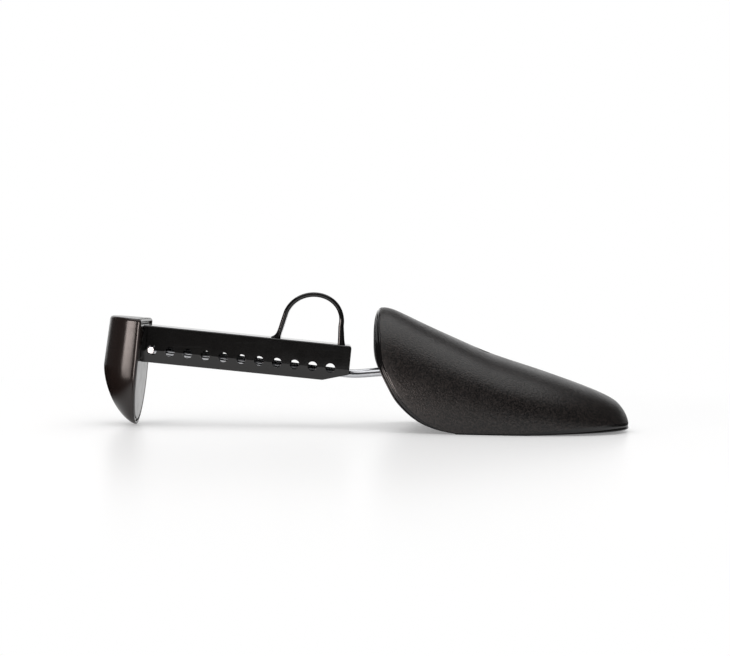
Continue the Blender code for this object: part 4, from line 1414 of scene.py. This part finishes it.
    def build_plate(self) -> Piece:
        """Models the plate that closes the shell, with a small round along its front edge.

        Returns:
            The plate, in the arm's own frame.
        """
        front = self.front - self.plate_recess
        inset = self.lip + self.plate_gap
        rounded = [(front - back, inset + out) for back, out in quarter(self.plate_round, 5)]
        plate = self.face_solid("heel_front", [(front - self.plate_thickness, inset), *rounded])
        for side in Side:
            cut(plate, place(rod(Screw.hole_radius, -4 * MM, 4 * MM), Arm.screw_place(side, front)))
        return plate

    def build(self) -> None:
        """Makes every piece of the heel."""
        space = self.layout.arm_space()
        shell, plate = self.build_shell(), self.build_plate()
        self.dress(place(shell, space), Body.ARM, Slot.GLOSSY, ["heel_shell"], flat_faces=True)
        self.dress(place(plate, space), Body.ARM, Slot.SATIN, ["heel_plate"])
        seat = self.front - self.plate_recess - self.plate_thickness - self.plate_gap
        for side in Side:
            name = side.name.lower()
            screw = place(Screw(self.screw_length).build(f"heel_fixing_{name}"), Arm.screw_place(side, seat))
            self.dress(place(screw, space), Body.ARM, Slot.ZINC, [f"heel_screw_{name}"])


def aimed(name: str, data: bpy.types.ID, stand: Place, aim: Place, roll: float = 0.0) -> Piece:
    """Adds a camera or a lamp.

    Args:
        name: Name of the new object.
        data: The camera or the lamp.
        stand: Where it stands.
        aim: The point that it looks at.
        roll: Its turn about its own line of sight.

    Returns:
        The new object.
    """
    obj = bpy.data.objects.new(name, data)
    bpy.context.scene.collection.objects.link(obj)
    look = (Vector(aim) - Vector(stand)).to_track_quat("-Z", "Y").to_matrix().to_4x4()
    obj.matrix_world = Matrix.Translation(stand) @ look @ Matrix.Rotation(roll, 4, "Z")
    return obj


@dataclass(frozen=True)
class View:
    """The photograph's camera: a long lens a little above the floor, tipped a little down and rolled."""

    place: Place = (-0.0119, -0.750, 0.0599)
    aim: Place = (-0.0012, 0.0, 0.0450)
    lens: float = 81.3
    roll: float = math.radians(0.838)

    def build(self) -> None:
        """Creates the camera and makes it the scene's."""
        data = bpy.data.cameras.new("view")
        data.lens = self.lens
        data.sensor_fit = "HORIZONTAL"
        data.clip_start = 0.05
        bpy.context.scene.camera = aimed("view", data, self.place, self.aim, self.roll)


@dataclass(frozen=True)
class SoftBox:
    """A large soft light."""

    name: str
    place: Place
    aim: Place
    size: tuple[float, float]
    power: float
    colour: str = "#ffffff"

    def build(self) -> None:
        """Hangs the light and points it."""
        data = bpy.data.lights.new(self.name, "AREA")
        data.shape = "RECTANGLE"
        data.size, data.size_y = self.size
        data.energy = self.power
        data.color = linear(self.colour)[:3]
        aimed(self.name, data, self.place, self.aim)


@dataclass(frozen=True)
class Studio:
    """A white table before a white backdrop, with soft lights, and a dark room behind the camera."""

    half_width: float = 4.0
    front_edge: float = -0.52
    back_edge: float = 6.0
    floor_colour: str = "#f8f8f8"
    ambient: tuple[float, float] = (0.36, 1.75)
    room: float = 0.06
    backdrop_side: Place = (0.0, 1.0, 0.0)
    backdrop_from: float = 0.75
    backdrop_to: float = 0.95
    near_share: float = 0.22
    near_reach: float = 0.16
    far_reach: float = 0.42
    table_side: tuple[float, float] = (0.11, 0.15)
    lamps: tuple[SoftBox, ...] = (
        SoftBox("overhead", (-0.05, 0.05, 1.15), (0.0, 0.05, 0.0), (1.3, 1.4), 8.0),
        SoftBox("front_left", (-0.845, -0.79, 0.12), (-0.08, 0.0, 0.04), (0.70, 0.20), 4.6, "#fff0ea"),
    )

    @staticmethod
    def blend(start: float, end: float, least: float = 0.0) -> dict[str, Any]:
        """Settings of a smooth rise from the least value to 1 between two values."""
        return {"From Min": start, "From Max": end, "To Min": least, "interpolation_type": "SMOOTHSTEP"}

    def build_world(self) -> None:
        """White for the camera and, straight behind the object, for mirrors; a fill from front and back."""
        world = bpy.data.worlds.new("white_backdrop")
        add = empty_tree(world)
        direction = add("TexCoord", out="Generated")
        backdrop = {"operation": "DOT_PRODUCT", 1: self.backdrop_side}
        facing = add("VectorMath", backdrop, {0: direction}, "Value")
        edge = self.blend(self.backdrop_from, self.backdrop_to, self.room)
        mirrored = add("MapRange", edge, {"Value": facing})
        rays = add("LightPath").node.outputs
        clear_rays = {0: rays["Is Glossy Ray"], 1: rays["Is Transmission Ray"]}
        clear = add("Math", {"operation": "MAXIMUM"}, clear_rays)
        along_y = add("Math", {"operation": "MULTIPLY"}, {0: facing, 1: facing})
        fill = add("MapRange", {"To Min": self.ambient[0], "To Max": self.ambient[1]}, {"Value": along_y})
        lit = add("Mix", {"data_type": "FLOAT"}, {0: clear, 2: fill, 3: mirrored})
        seen = add("Mix", {"data_type": "FLOAT", 3: 1.0}, {0: rays["Is Camera Ray"], 2: lit})
        sky = add("Background", {"Color": (1.0, 1.0, 1.0, 1.0)}, {"Strength": seen})
        add("OutputWorld", links={"Surface": sky})
        bpy.context.scene.world = world

    def floor_material(self) -> bpy.types.Material:
        """White laminate: it takes the shadow and a faint reflection near the object.

        To its sides the table ends in the dark room, as mirrors show.

        Returns:
            The material.
        """
        material = bpy.data.materials.new("white_laminate")
        add = empty_tree(material)
        surface = {"Base Color": linear(self.floor_colour), "Roughness": 0.30, "IOR": 1.25}
        laminate = add("BsdfPrincipled", surface)
        spot = add("TexCoord", out="Object")
        reach = add("VectorMath", {"operation": "LENGTH"}, {0: spot}, "Value")
        widening = self.blend(self.near_reach, self.far_reach, self.near_share)
        spread = add("MapRange", widening, {"Value": reach})
        across = add("VectorMath", {"operation": "MULTIPLY", 1: (1.0, 0.0, 0.0)}, {0: spot})
        sideways = add("VectorMath", {"operation": "LENGTH"}, {0: across}, "Value")
        table_end = add("MapRange", self.blend(*self.table_side), {"Value": sideways})
        rays = add("LightPath").node.outputs
        direct_rays = {0: rays["Is Camera Ray"], 1: rays["Is Transmission Ray"]}
        direct = add("Math", {"operation": "MAXIMUM"}, direct_rays)
        seen = add("Math", {"operation": "MULTIPLY"}, {0: direct, 1: spread})
        mirrored = add("Math", {"operation": "MULTIPLY"}, {0: rays["Is Glossy Ray"], 1: table_end})
        share = add("Math", {"operation": "MAXIMUM"}, {0: seen, 1: mirrored})
        white = add("Emission", links={"Strength": direct})
        mixed = add("MixShader", links={0: share, 1: laminate, 2: white})
        add("OutputMaterial", links={"Surface": mixed})
        return material

    def build(self) -> None:
        """Lays the floor, hangs the lights and sets the view transform."""
        deselect()
        bpy.ops.mesh.primitive_plane_add(size=2.0)
        floor = bpy.context.object
        floor.name = floor.data.name = "floor"
        depth = self.back_edge - self.front_edge
        middle = (self.back_edge + self.front_edge) / 2
        spread = Matrix.Diagonal((self.half_width, depth / 2, 1.0, 1.0))
        place(floor, Matrix.Translation((0.0, middle, 0.0)) @ spread)
        floor.data.materials.append(self.floor_material())
        self.build_world()
        for lamp in self.lamps:
            lamp.build()
        bpy.context.scene.view_settings.view_transform = "Standard"


def main() -> None:
    """Loads the frame, builds and dresses every piece, and sets up the picture."""
    logging.basicConfig(level=logging.INFO, format="%(name)s: %(message)s")
    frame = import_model()
    layout = Layout.from_frame(frame)
    finishes = make_finishes()
    View().build()
    Studio().build()
    for assembly in (ToePiece, SpringWire, Arm, Heel):
        assembly(layout, finishes).build()


if __name__ == "__main__":
    main()
